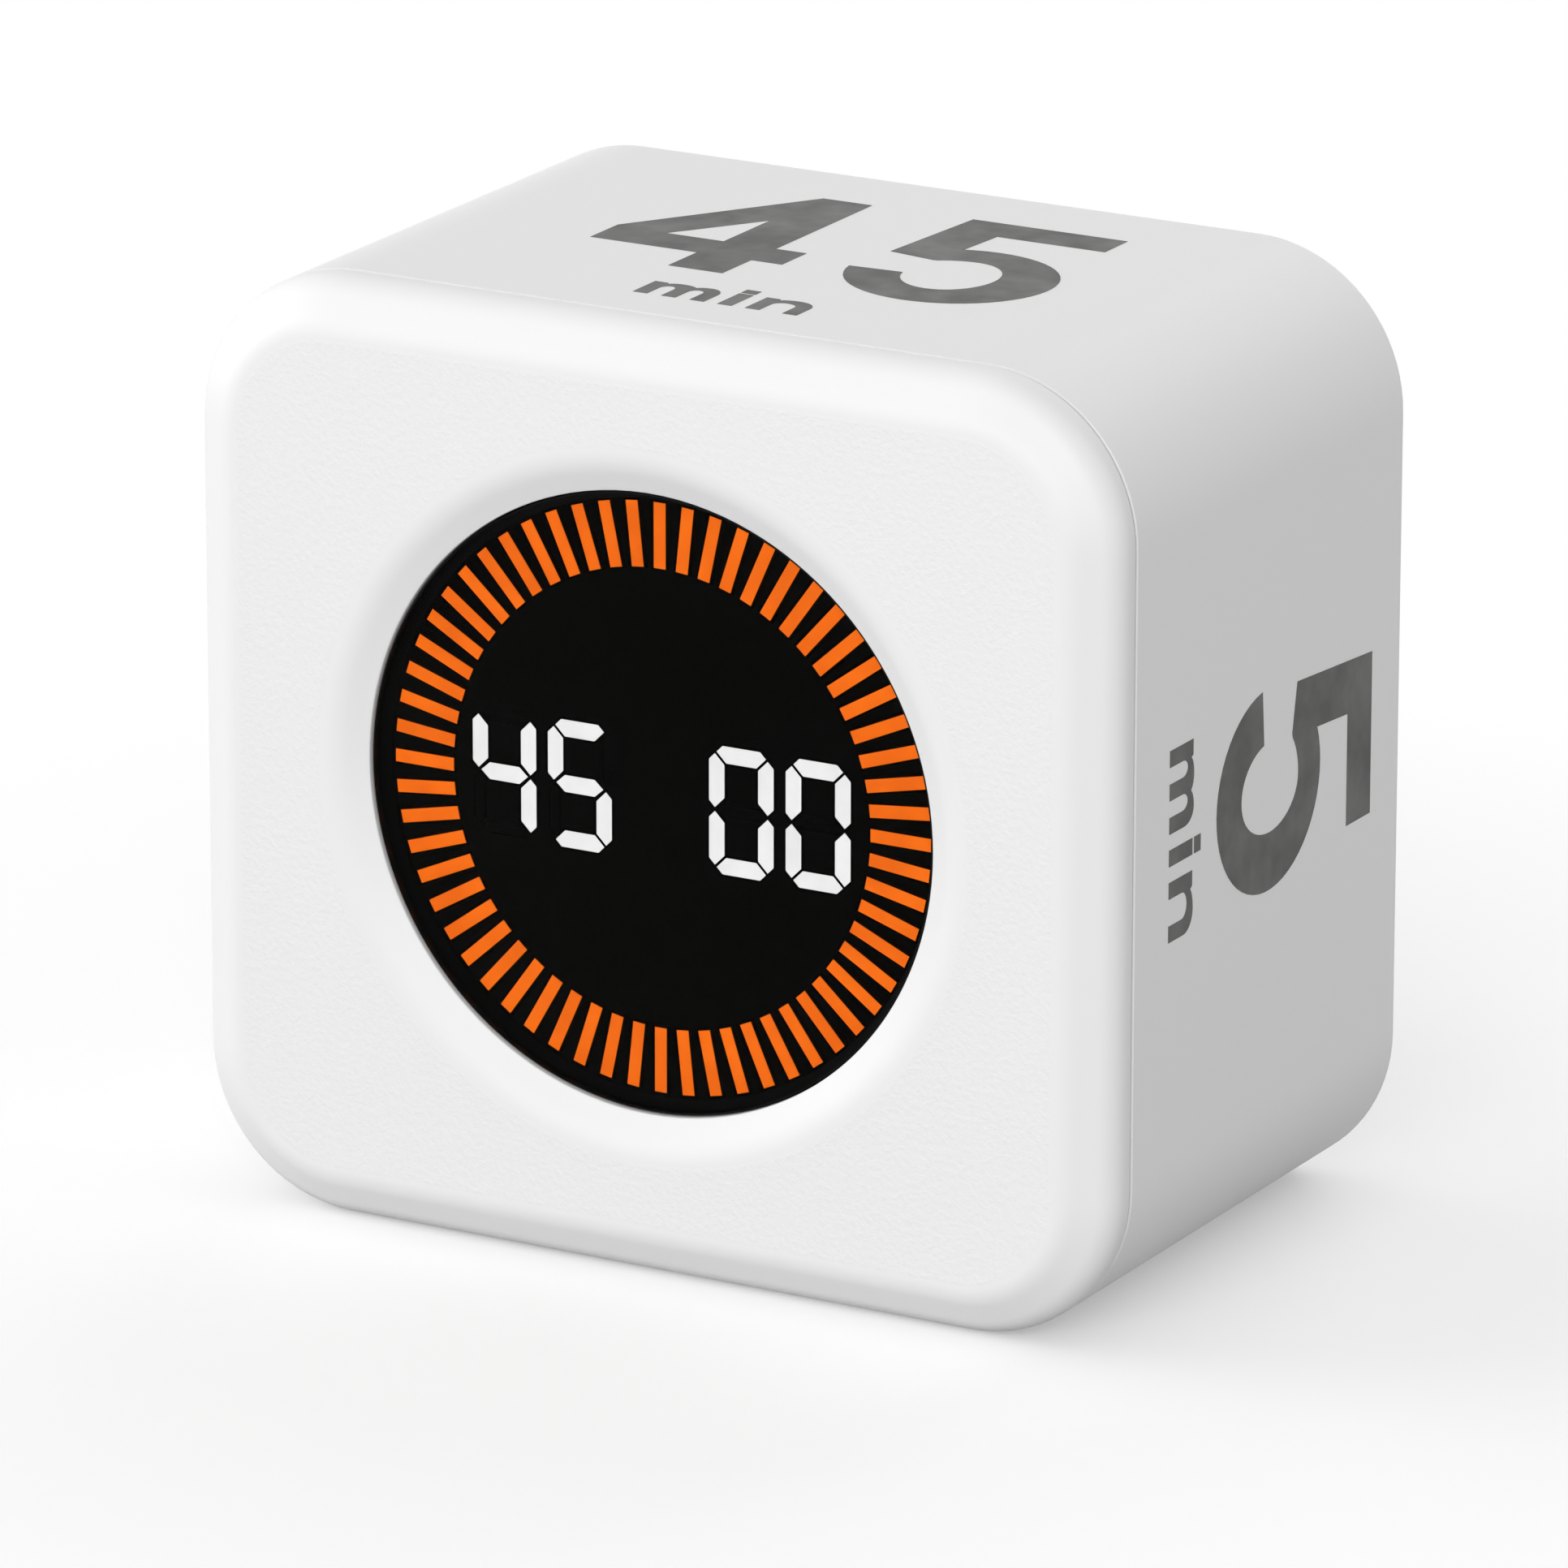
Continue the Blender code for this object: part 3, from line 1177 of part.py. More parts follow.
def make_speaker():
    """The speaker in its cup: basket and magnet in one body, the cone, and the foam gasket."""
    rim_back = cover_front - GAP - GASKET_THICKNESS - GAP
    front = rim_back - SPEAKER_THICKNESS
    basket_radius = speaker_radius - SPEAKER_RIM_WIDTH / 2
    bowl_radius = speaker_radius - SPEAKER_RIM_WIDTH
    rim_front = SPEAKER_THICKNESS - SPEAKER_RIM_THICKNESS
    cone_room = CONE_THICKNESS + CONE_RISE + GAP
    bm = bmesh.new()
    profile = [
        (magnet_radius, 0),
        (magnet_radius, MAGNET_THICKNESS),
        (basket_radius, MAGNET_THICKNESS + SPEAKER_RIM_THICKNESS),
        (basket_radius, rim_front),
        (speaker_radius, rim_front),
        (speaker_radius, SPEAKER_THICKNESS),
        (bowl_radius, SPEAKER_THICKNESS),
        (bowl_radius, SPEAKER_THICKNESS - cone_room),
    ]
    turned(bm, profile, BUTTON_STEPS)
    piece("speaker_body", bm, SPEAKER_GREY, (0, front, speaker_up))
    bm = bmesh.new()
    cone_radius = bowl_radius - GAP
    start = SPEAKER_THICKNESS - cone_room + GAP
    profile = [
        (cone_radius / 2, start + CONE_RISE / 2),
        (cone_radius, start),
        (cone_radius, start + CONE_THICKNESS),
        (cone_radius / 2, start + CONE_THICKNESS + CONE_RISE / 2),
    ]
    turned(bm, profile, BUTTON_STEPS)
    piece("speaker_cone", bm, CHIP_BLACK, (0, front, speaker_up))
    bm = bmesh.new()
    back = cover_front - GAP
    near = back - GASKET_THICKNESS
    profile = [(speaker_radius, near), (speaker_radius, back), (bowl_radius, back), (bowl_radius, near)]
    turned(bm, profile, BUTTON_STEPS, closed=True)
    piece("speaker_gasket", bm, FOAM_GREY, (0, 0, speaker_up))
    make_speaker_leads(front)


def make_speaker_leads(speaker_front):
    """Two thin leads from the speaker's magnet side to the main board's front side."""
    start_up = speaker_up - magnet_radius / 4
    run = main_board_front - GAP - SPEAKER_LEAD_DROP / 2
    end_up = main_board_high - SPEAKER_LEAD_DROP
    for name, side, finish in (("red", -1, RED_WIRE), ("black", 1, BLACK_WIRE)):
        across = SPEAKER_LEAD_ACROSS + side * SPEAKER_LEAD_PITCH / 2
        corners = [
            (across, speaker_front - GAP, start_up),
            (across, run + (speaker_front - run) / 4, start_up - SPEAKER_LEAD_DROP / 4),
            (across, run, start_up - SPEAKER_LEAD_DROP),
            (across, run, main_board_high),
            (across, run + SPEAKER_LEAD_DROP / 6, end_up + SPEAKER_LEAD_DROP / 5),
            (across, main_board_front - GAP, end_up),
        ]
        make_lead(f"speaker_lead_{name}", corners, SPEAKER_LEAD_RADIUS, finish)


def screw_mesh(name, radius, head_radius, head_height, length):
    """A pan-head screw with a cross recess: the head's seat at zero, the shank along the depth axis."""
    bm = bmesh.new()
    crown = head_height / 3
    profile = [
        (head_radius - crown, -head_height),
        (head_radius, crown - head_height),
        (head_radius, 0),
        (radius, 0),
        (radius, length - radius),
        (radius / 3, length),
    ]
    turned(bm, profile, SCREW_STEPS)
    blank = tool(f"{name}_blank", bm)
    bm = bmesh.new()
    arm = 2 * head_radius * CROSS_LENGTH_SHARE
    width = 2 * head_radius * CROSS_WIDTH_SHARE
    half = arm / 2
    edge = width / 2
    cross = [(half, edge), (edge, edge), (edge, half), (-edge, half), (-edge, edge), (-half, edge)]
    cross += [(-x, -z) for x, z in cross]
    floor = head_height * (CROSS_DEPTH_SHARE - 1)
    stack(bm, [(cross, -head_height - OVERRUN), (cross, floor)])
    recess = tool(f"{name}_recess", bm)
    combine(blank, recess, "DIFFERENCE")
    bpy.context.view_layer.update()
    shaped = blank.evaluated_get(bpy.context.evaluated_depsgraph_get())
    mesh = bpy.data.meshes.new_from_object(shaped)
    mesh.name = name
    for helper in (blank, recess):
        bpy.data.objects.remove(helper, do_unlink=True)
    return mesh


def place_screws(name, mesh, places, depth, towards_front):
    """Screws that share one mesh, seated at a depth and pointing to the front or to the rear."""
    mesh.materials.append(material(STEEL))
    for number, (across, up) in enumerate(places, 1):
        screw = link(f"{name}_{number}", mesh, (across, depth, up))
        screw.rotation_euler = (math.pi if towards_front else 0, 0, 0)


def make_screws():
    """Four long case screws, four display screws and four board screws."""
    case_seat = cover_back - CASE_HEAD_HEIGHT
    case_tip = cradle_front - GAP - CASE_SCREW_BITE
    length = case_seat - case_tip
    mesh = screw_mesh("case_screw", CASE_SCREW_RADIUS, CASE_HEAD_RADIUS, CASE_HEAD_HEIGHT, length)
    place_screws("case_screw", mesh, corners_of(post_across, post_up), case_seat, True)
    display_seat = display_board_back + SCREW_GAP
    length = display_seat - (display_board_front - GAP - SMALL_SCREW_BITE)
    mesh = screw_mesh("display_screw", SMALL_SCREW_RADIUS, SMALL_HEAD_RADIUS, SMALL_HEAD_HEIGHT, length)
    places = corners_of(display_boss_offset, display_boss_offset)
    place_screws("display_screw", mesh, places, display_seat, True)
    board_seat = main_board_front - SCREW_GAP
    length = rear_parts_front + SMALL_SCREW_BITE - board_seat
    mesh = screw_mesh("board_screw", SMALL_SCREW_RADIUS, SMALL_HEAD_RADIUS, SMALL_HEAD_HEIGHT, length)
    levels = (standoff_high, standoff_low)
    places = [(side * standoff_across, level) for level in levels for side in (-1, 1)]
    place_screws("board_screw", mesh, places, board_seat, False)


def make_timer():
    """Builds the whole timer."""
    clear_scene()
    timer_axis()
    make_front_bezel()
    make_main_housing()
    make_rear_cover()
    make_lens()
    make_display_frame()
    make_light_guides()
    make_display_board()
    make_cradle()
    make_battery()
    make_power_socket()
    make_battery_leads()
    make_main_board()
    make_chips()
    make_usb_socket()
    make_button("left", -button_across)
    make_button("right", button_across)
    make_slider()
    make_ribbon()
    make_speaker()
    make_screws()


make_timer()
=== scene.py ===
"""The looks of a cube-shaped focus timer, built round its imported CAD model.

Sizes are in millimetres. A place is (across, depth, up): across is to the viewer's right, depth runs from the
front plane to the rear, and up is measured from the middle of the front. A Form turns places into metres in
the frame's axes when it becomes a piece.
"""

import logging
import math
from dataclasses import dataclass
from enum import Enum

import bmesh
import bpy
import numpy as np
from mathutils import Matrix, Vector
from mathutils.geometry import delaunay_2d_cdt


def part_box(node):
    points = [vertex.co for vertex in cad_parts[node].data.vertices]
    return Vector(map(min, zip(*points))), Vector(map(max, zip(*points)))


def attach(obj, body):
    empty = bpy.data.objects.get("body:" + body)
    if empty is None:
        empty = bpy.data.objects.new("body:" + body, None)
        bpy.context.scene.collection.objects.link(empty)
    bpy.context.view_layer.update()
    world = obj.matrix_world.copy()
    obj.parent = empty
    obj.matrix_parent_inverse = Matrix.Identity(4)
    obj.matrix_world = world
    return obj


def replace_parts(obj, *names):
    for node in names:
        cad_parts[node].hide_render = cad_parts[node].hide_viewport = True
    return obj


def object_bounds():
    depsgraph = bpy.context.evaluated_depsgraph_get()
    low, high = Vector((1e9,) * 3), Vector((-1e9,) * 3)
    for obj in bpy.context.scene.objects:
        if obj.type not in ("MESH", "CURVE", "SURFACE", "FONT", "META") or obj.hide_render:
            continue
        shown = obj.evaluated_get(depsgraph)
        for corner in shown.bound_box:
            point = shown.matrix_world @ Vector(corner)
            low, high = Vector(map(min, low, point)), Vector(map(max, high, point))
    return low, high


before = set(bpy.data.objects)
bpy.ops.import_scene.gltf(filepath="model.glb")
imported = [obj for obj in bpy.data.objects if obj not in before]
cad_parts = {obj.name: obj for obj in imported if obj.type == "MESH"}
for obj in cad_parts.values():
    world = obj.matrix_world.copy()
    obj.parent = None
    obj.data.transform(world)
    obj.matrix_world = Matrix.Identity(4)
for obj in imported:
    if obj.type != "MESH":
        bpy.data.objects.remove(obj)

Array = np.ndarray
Socket = bpy.types.NodeSocket
METRE = 0.001
WELD = 1e-7
SUPPORT_SHARE, SUPPORT_MOST = 0.3, 0.06
CAD_LOW, CAD_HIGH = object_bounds()
logger = logging.getLogger("timer")


# Shape tools


def soften(corners: list[tuple[float, float, float]], steps: int = 6, closed: bool = False) -> Array:
    """Rounds the corners of a line of straight stretches.

    A corner with radius r gets an arc tangent to both stretches: it starts r / tan(half the corner's angle)
    before the corner. A support point stands just before and after each arc, so that flats stay flat.

    Args:
        corners: (first, second, radius) for each corner.
        steps: Steps in each arc.
        closed: True if the last corner is joined to the first.

    Returns:
        Points, one row each.
    """
    places = np.array([corner[:2] for corner in corners], float)
    made = []
    count = len(corners)
    for i in range(count):
        radius = corners[i][2]
        if radius <= 0 or (not closed and i in (0, count - 1)):
            made.append(places[i])
            continue
        before, after = places[i - 1] - places[i], places[(i + 1) % count] - places[i]
        to_before, to_after = before / np.linalg.norm(before), after / np.linalg.norm(after)
        half = math.acos(float(np.clip(to_before @ to_after, -1, 1))) / 2
        reach = radius / math.tan(half)
        middle = to_before + to_after
        centre = places[i] + middle / np.linalg.norm(middle) * radius / math.sin(half)
        start, end = places[i] + to_before * reach, places[i] + to_after * reach
        share = np.linspace(0, 1, steps + 1)[:, None]
        sweep = math.pi - 2 * half
        first, last = start - centre, end - centre
        arc = (np.sin((1 - share) * sweep) * first + np.sin(share * sweep) * last) / math.sin(sweep)
        support = min(SUPPORT_MOST, radius * SUPPORT_SHARE)
        made.append(start + to_before * support)
        made.extend(centre + arc)
        made.append(end + to_after * support)
    return np.array(made)


def grid_faces(rows: int, columns: int, loop: bool) -> Array:
    """Four-sided faces of a grid whose columns run round a closed line.

    A face joins a point to the next one in its row and to those below the two.

    Args:
        rows: Rows of points.
        columns: Points in a row.
        loop: True if the last row is joined to the first.

    Returns:
        Point numbers, four a face.
    """
    row = np.arange(rows if loop else rows - 1)[:, None]
    column = np.arange(columns)[None, :]
    ahead = (column + 1) % columns
    below = (row + 1) % rows
    near, far = row * columns, below * columns
    return np.stack([near + column, near + ahead, far + ahead, far + column], -1).reshape(-1, 4)


def fan(count: int) -> Array:
    """Triangles from the first point of a loop to each of its edges."""
    here = np.arange(1, count - 1)
    return np.stack([np.zeros(count - 2, int), here, here + 1], -1)


def raised(flat: Array, depth: Array) -> Array:
    """Places from (across, up) points by row and a depth for each row."""
    return np.stack([flat[..., 0], np.broadcast_to(depth[:, None], flat.shape[:2]), flat[..., 1]], -1)


def fill(loops: list[Array]) -> tuple[Array, Array]:
    """Triangles of a flat face inside its first loop and outside the others.

    The loops' points are joined into triangles, and those whose middle lies on the face are kept.

    Args:
        loops: Closed lines of (across, up) points.

    Returns:
        The points, and three point numbers a triangle.
    """
    flat = np.concatenate(loops)
    edges, start = [], 0
    for loop in loops:
        numbers = np.arange(len(loop)) + start
        edges += np.stack([numbers, np.roll(numbers, -1)], -1).tolist()
        start += len(loop)
    made = delaunay_2d_cdt([Vector(point) for point in flat], edges, [], 0, WELD)
    places, triangles = np.array([list(place) for place in made[0]]), np.array(made[2])
    middles = places[triangles].mean(axis=1)
    kept = inside(middles, loops[0])
    for loop in loops[1:]:
        kept &= ~inside(middles, loop)
    return places, triangles[kept]


def inside(points: Array, loop: Array) -> Array:
    """True for each point inside a loop: a line from it to the right crosses the loop an odd number of times.

    Args:
        points: (across, up) points.
        loop: The closed line's points.

    Returns:
        One truth value a point.
    """
    ahead = np.roll(loop, -1, axis=0)
    x, y = points[:, 0:1], points[:, 1:2]
    straddles = (loop[:, 1] > y) != (ahead[:, 1] > y)
    rise = np.where(ahead[:, 1] == loop[:, 1], 1, ahead[:, 1] - loop[:, 1])
    crossing = loop[:, 0] + (y - loop[:, 1]) * (ahead[:, 0] - loop[:, 0]) / rise
    return (straddles & (x < crossing)).sum(axis=1) % 2 == 1


@dataclass(frozen=True)
class Outline:
    """A rounded rectangle seen from the front.

    Each point is an anchor plus its outward direction times the corner radius, less the inset. Round a
    corner the anchor stands at the corner's centre, and along a side it runs from centre to centre.
    """

    half_width: float
    half_height: float
    radius: float
    corner_steps: int = 20
    side_steps: int = 26
    across: float = 0.0
    up: float = 0.0

    @staticmethod
    def circle(radius: float, steps: int, across: float, up: float) -> "Outline":
        """A circle, an outline that is all corners, with so many steps to a quarter."""
        return Outline(radius, radius, radius, steps, 1, across, up)

    def anchors(self) -> tuple[Array, Array]:
        """The anchors and the outward directions, going round once.

        Returns:
            The (across, up) anchors, and a unit direction for each.
        """
        reach = np.array([self.half_width - self.radius, self.half_height - self.radius])
        signs = np.array([(1, 1), (-1, 1), (-1, -1), (1, -1)])
        middle = np.array([self.across, self.up])
        anchors, directions = [], []
        for k in range(4):
            turn = (k + np.linspace(0, 1, self.corner_steps + 1)) * math.pi / 2
            here, there = signs[k] * reach, signs[(k + 1) % 4] * reach
            anchors.append(np.repeat([here], len(turn), axis=0))
            directions.append(np.stack([np.cos(turn), np.sin(turn)], -1))
            if np.linalg.norm(there - here) > WELD:
                share = np.linspace(0, 1, self.side_steps + 1)[1:-1, None]
                anchors.append(here + (there - here) * share)
                directions.append(np.repeat(directions[-1][-1:], len(share), axis=0))
        return np.concatenate(anchors) + middle, np.concatenate(directions)

    def at(self, insets: Array) -> Array:
        """The outline moved inwards: a row of (across, up) points for each inset."""
        anchors, directions = self.anchors()
        return anchors[None] + directions[None] * (self.radius - np.asarray(insets, float)[:, None, None])

    def matched(self, radii: Array) -> Array:
        """Circles whose points lie on the same rays from the middle as the outline's own points.

        Args:
            radii: The circles' radii.

        Returns:
            A row of (across, up) points for each radius.
        """
        flat = self.at(np.array([0.0]))[0] - np.array([self.across, self.up])
        rays = flat / np.linalg.norm(flat, axis=1, keepdims=True)
        return rays[None] * np.asarray(radii, float)[:, None, None]


class Form:
    """Closed surfaces that together become one piece."""

    def __init__(self) -> None:
        """Starts empty."""
        self.points: list[Array] = []
        self.faces: list[list[int]] = []
        self.slots: list[int] = []
        self.marks: list[Array] = []
        self.count = 0

    def add(self, points: Array, faces: list[Array], slot: int = 0, mark: Array | None = None) -> None:
        """Adds points and the faces between them.

        Args:
            points: (across, depth, up) for each point.
            faces: Arrays of point numbers, one row a face.
            slot: The material slot of these faces.
            mark: A value from 0 to 1 for each point, kept as the attribute "grain".
        """
        for block in faces:
            self.faces += (np.asarray(block) + self.count).tolist()
            self.slots += [slot] * len(block)
        self.points.append(points)
        self.marks.append(np.zeros(len(points)) if mark is None else mark)
        self.count += len(points)

    def grid(
        self, points: Array, loop: bool = False, caps: bool = True, slot: int = 0, mark: Array | None = None
    ) -> None:
        """Adds a grid of rows that each run round a closed line.

        Args:
            points: (rows, columns, 3) places.
            loop: True if the last row is joined to the first.
            caps: True if both ends are closed by a fan of triangles round their middle.
            slot: The material slot.
            mark: The "grain" value of each row.
        """
        rows, columns = points.shape[:2]
        flat = points.reshape(-1, 3)
        marks = np.zeros(rows) if mark is None else mark
        shares = np.repeat(marks, columns)
        faces = [grid_faces(rows, columns, loop)]
        if caps and not loop:
            flat = np.concatenate([flat, points[0].mean(axis=0)[None], points[-1].mean(axis=0)[None]])
            shares = np.append(shares, [marks[0], marks[-1]])
            here = np.arange(columns)
            ahead = (here + 1) % columns
            far = (rows - 1) * columns
            total = rows * columns
            faces.append(np.stack([ahead, here, np.full(columns, total)], -1))
            faces.append(np.stack([far + here, far + ahead, np.full(columns, total + 1)], -1))
        self.add(flat, faces, slot, shares)

    def lathe(
        self,
        profile: Array,
        centre: tuple[float, float] = (0, 0),
        steps: int = 64,
        loop: bool = False,
        caps: bool = True,
        slot: int = 0,
    ) -> None:
        """Adds a profile turned round an axis along the depth.

        A point is (across + r cos t, depth, up + r sin t).

        Args:
            profile: (radius, depth) rows.
            centre: The axis's (across, up).
            steps: Steps round the axis.
            loop: True for a ring, whose profile is closed.
            caps: True if both ends are closed.
            slot: The material slot.
        """
        turn = np.arange(steps) * 2 * math.pi / steps
        radius = profile[:, 0:1]
        flat = np.stack([centre[0] + radius * np.cos(turn), centre[1] + radius * np.sin(turn)], -1)
        self.grid(raised(flat, profile[:, 1]), loop=loop, caps=caps, slot=slot)

    def sweep(
        self, outline: Outline, profile: Array, loop: bool = False, caps: bool = True, slot: int = 0
    ) -> None:
        """Adds a profile of (inset, depth) rows carried round an outline; loop is True for a closed one."""
        self.grid(raised(outline.at(profile[:, 0]), profile[:, 1]), loop, caps, slot)

    def walls(self, loop: Array, front: float, back: float, slot: int = 0) -> None:
        """Adds an open tube of one outline from one depth to another."""
        self.grid(raised(np.stack([loop, loop]), np.array([front, back])), caps=False, slot=slot)

    def flat(self, loops: list[Array], depth: float, slot: int = 0) -> None:
        """Adds a flat face with holes at a depth."""
        places, triangles = fill(loops)
        self.add(raised(places[None], np.array([depth]))[0], [triangles], slot)

    def slab(self, loops: list[Array], front: float, back: float, slot: int = 0) -> None:
        """Adds a closed plate between two depths.

        Args:
            loops: Its outline's points, then those of each hole.
            front: The depth of its front.
            back: The depth of its back.
            slot: The material slot.
        """
        for loop in loops:
            self.walls(loop, front, back, slot)
        for depth in (front, back):
            self.flat(loops, depth, slot)

    def piece(self, name: str, finishes: list["Finish"], body: str, sharp: float = 40.0) -> bpy.types.Object:
        """Makes the piece and lets it ride on its body.

        Args:
            name: The piece's name.
            finishes: One finish for each material slot.
            body: The CAD body that it moves with.
            sharp: Edges that turn by more than this, in degrees, stay sharp.

        Returns:
            The object, with its place in its mesh.
        """
        places = np.concatenate(self.points) * METRE
        row = np.stack(
            [places[:, 0], CAD_LOW.y + places[:, 1], (CAD_LOW.z + CAD_HIGH.z) / 2 + places[:, 2]], -1
        )
        mesh = bpy.data.meshes.new(name)
        mesh.from_pydata(row.tolist(), [], self.faces)
        grain = mesh.attributes.new("grain", "FLOAT", "POINT")
        grain.data.foreach_set("value", np.concatenate(self.marks).astype(np.float32))
        mesh.polygons.foreach_set("material_index", self.slots)
        for finish in finishes:
            mesh.materials.append(finish.material())
        shape = bmesh.new()
        shape.from_mesh(mesh)
        bmesh.ops.remove_doubles(shape, verts=shape.verts, dist=WELD)
        bmesh.ops.recalc_face_normals(shape, faces=shape.faces)
        shape.to_mesh(mesh)
        shape.free()
        mesh.shade_smooth()
        mesh.set_sharp_from_angle(angle=math.radians(sharp))
        made = bpy.data.objects.new(name, mesh)
        bpy.context.scene.collection.objects.link(made)
        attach(made, body)
        logger.info("%s: %d faces", name, len(mesh.polygons))
        return made


# Finishes


class Pattern(Enum):
    """The fine detail that a finish shows."""

    GRAIN = "an even fine grain"
    MARKED_GRAIN = "a fine grain only where the piece's grain attribute is 1"
    BRUSHED = "fine lines along the height"
    TRACES = "tracks under a green mask"
    WRINKLES = "soft wrinkles of thin foil"
    CELLS = "open cells of foam"
    # On the display frame these patches are painted sheen; on the printed ink they are uneven print.
    STRIPES = "parallel conductors under a film"
    BLOTCHES = "soft uneven patches"


# The finer layers and the stretch of the patterns that run one way.
STRETCHED = {
    Pattern.BRUSHED: (3, (1, 1, 0.04)),
    Pattern.STRIPES: (0, (1, 0.001, 0.001)),
    Pattern.WRINKLES: (4, (0.6, 1, 1)),
}


class Nodes:
    """A node tree while it is being laid."""

    def __init__(self, tree: bpy.types.NodeTree) -> None:
        """Starts from a tree."""
        self.tree = tree

    def node(self, kind: str, **values: object) -> bpy.types.Node:
        """Adds a node.

        Args:
            kind: Blender's name for the node.
            **values: Its settings; a name with a capital letter is a socket's, with _ for a space.

        Returns:
            The node.
        """
        made = self.tree.nodes.new(kind)
        for key, value in values.items():
            if key[0].isupper():
                made.inputs[key.replace("_", " ")].default_value = value
            else:
                setattr(made, key, value)
        return made

    def link(self, source: Socket, target: Socket) -> None:
        """Joins an output to an input."""
        self.tree.links.new(source, target)

    def seen(self) -> Socket:
        """1 for rays from the camera, and for those that glass or gloss sends on; otherwise 0.

        Returns:
            The output socket.
        """
        path = self.node("ShaderNodeLightPath")
        total = path.outputs["Is Camera Ray"]
        for name in ("Is Glossy Ray", "Is Transmission Ray"):
            larger = self.node("ShaderNodeMath", operation="MAXIMUM")
            self.link(total, larger.inputs[0])
            self.link(path.outputs[name], larger.inputs[1])
            total = larger.outputs[0]
        return total

    def blend(self, share: Socket, first: Socket, second: Socket) -> Socket:
        """A shader between two: (1 - share) times the first plus share times the second.

        Args:
            share: How much of the second shows.
            first: The first shader.
            second: The second shader.

        Returns:
            The output socket.
        """
        made = self.node("ShaderNodeMixShader")
        for source, target in zip((share, first, second), made.inputs):
            self.link(source, target)
        return made.outputs[0]


class Recipe(Nodes):
    """A Principled material while its nodes are being laid."""

    def __init__(self, name: str) -> None:
        """Starts from an empty Principled material.

        Args:
            name: The material's name.
        """
        self.made = bpy.data.materials.new(name)
        self.made.use_nodes = True
        super().__init__(self.made.node_tree)
        self.shader = self.tree.nodes["Principled BSDF"]

    def noise(
        self, size: float, detail: float = 2.0, stretch: tuple[float, float, float] = (1, 1, 1)
    ) -> Socket:
        """A noise value whose features are about a size across, in millimetres.

        Args:
            size: The size of a feature.
            detail: How many finer layers it has.
            stretch: The scale along each axis, for lines.

        Returns:
            The output socket.
        """
        places = self.node("ShaderNodeTexCoord")
        mapping = self.node("ShaderNodeMapping", Scale=stretch)
        noise = self.node("ShaderNodeTexNoise", Scale=1 / (size * METRE), Detail=detail, Roughness=0.55)
        self.link(places.outputs["Object"], mapping.inputs["Vector"])
        self.link(mapping.outputs["Vector"], noise.inputs["Vector"])
        return noise.outputs["Fac"]

    def spread(self, value: Socket, low: float, high: float, start: float = 0.3, end: float = 0.7) -> Socket:
        """Maps a value from one range to another: low + (high - low) (value - start) / (end - start).

        Args:
            value: The value, which is cut off at both ends.
            low: What start becomes.
            high: What end becomes.
            start: The range's start.
            end: The range's end.

        Returns:
            The output socket.
        """
        made = self.node("ShaderNodeMapRange", From_Min=start, From_Max=end, To_Min=low, To_Max=high)
        self.link(value, made.inputs["Value"])
        return made.outputs["Result"]

    def mix(self, value: Socket, first: tuple[float, ...], second: tuple[float, ...]) -> Socket:
        """A colour between two: (1 - value) times the first plus value times the second.

        Args:
            value: How much of the second shows.
            first: The first colour.
            second: The second colour.

        Returns:
            The output socket.
        """
        made = self.node("ShaderNodeMix", data_type="RGBA")
        self.link(value, made.inputs["Factor"])
        colours = [socket for socket in made.inputs if socket.type == "RGBA"]
        colours[0].default_value, colours[1].default_value = (*first, 1), (*second, 1)
        return next(socket for socket in made.outputs if socket.type == "RGBA")

    def multiply(self, first: Socket, second: Socket) -> Socket:
        """The product of two values.

        Args:
            first: One value.
            second: The other value.

        Returns:
            The output socket.
        """
        made = self.node("ShaderNodeMath", operation="MULTIPLY")
        self.link(first, made.inputs[0])
        self.link(second, made.inputs[1])
        return made.outputs[0]

    def relief(self, height: Socket, depth: float) -> None:
        """Bumps the surface.

        Args:
            height: The height, from 0 to 1.
            depth: How far a height of 1 stands out.
        """
        bump = self.node("ShaderNodeBump", Strength=1.0, Distance=depth * METRE)
        self.link(height, bump.inputs["Height"])
        self.link(bump.outputs["Normal"], self.shader.inputs["Normal"])


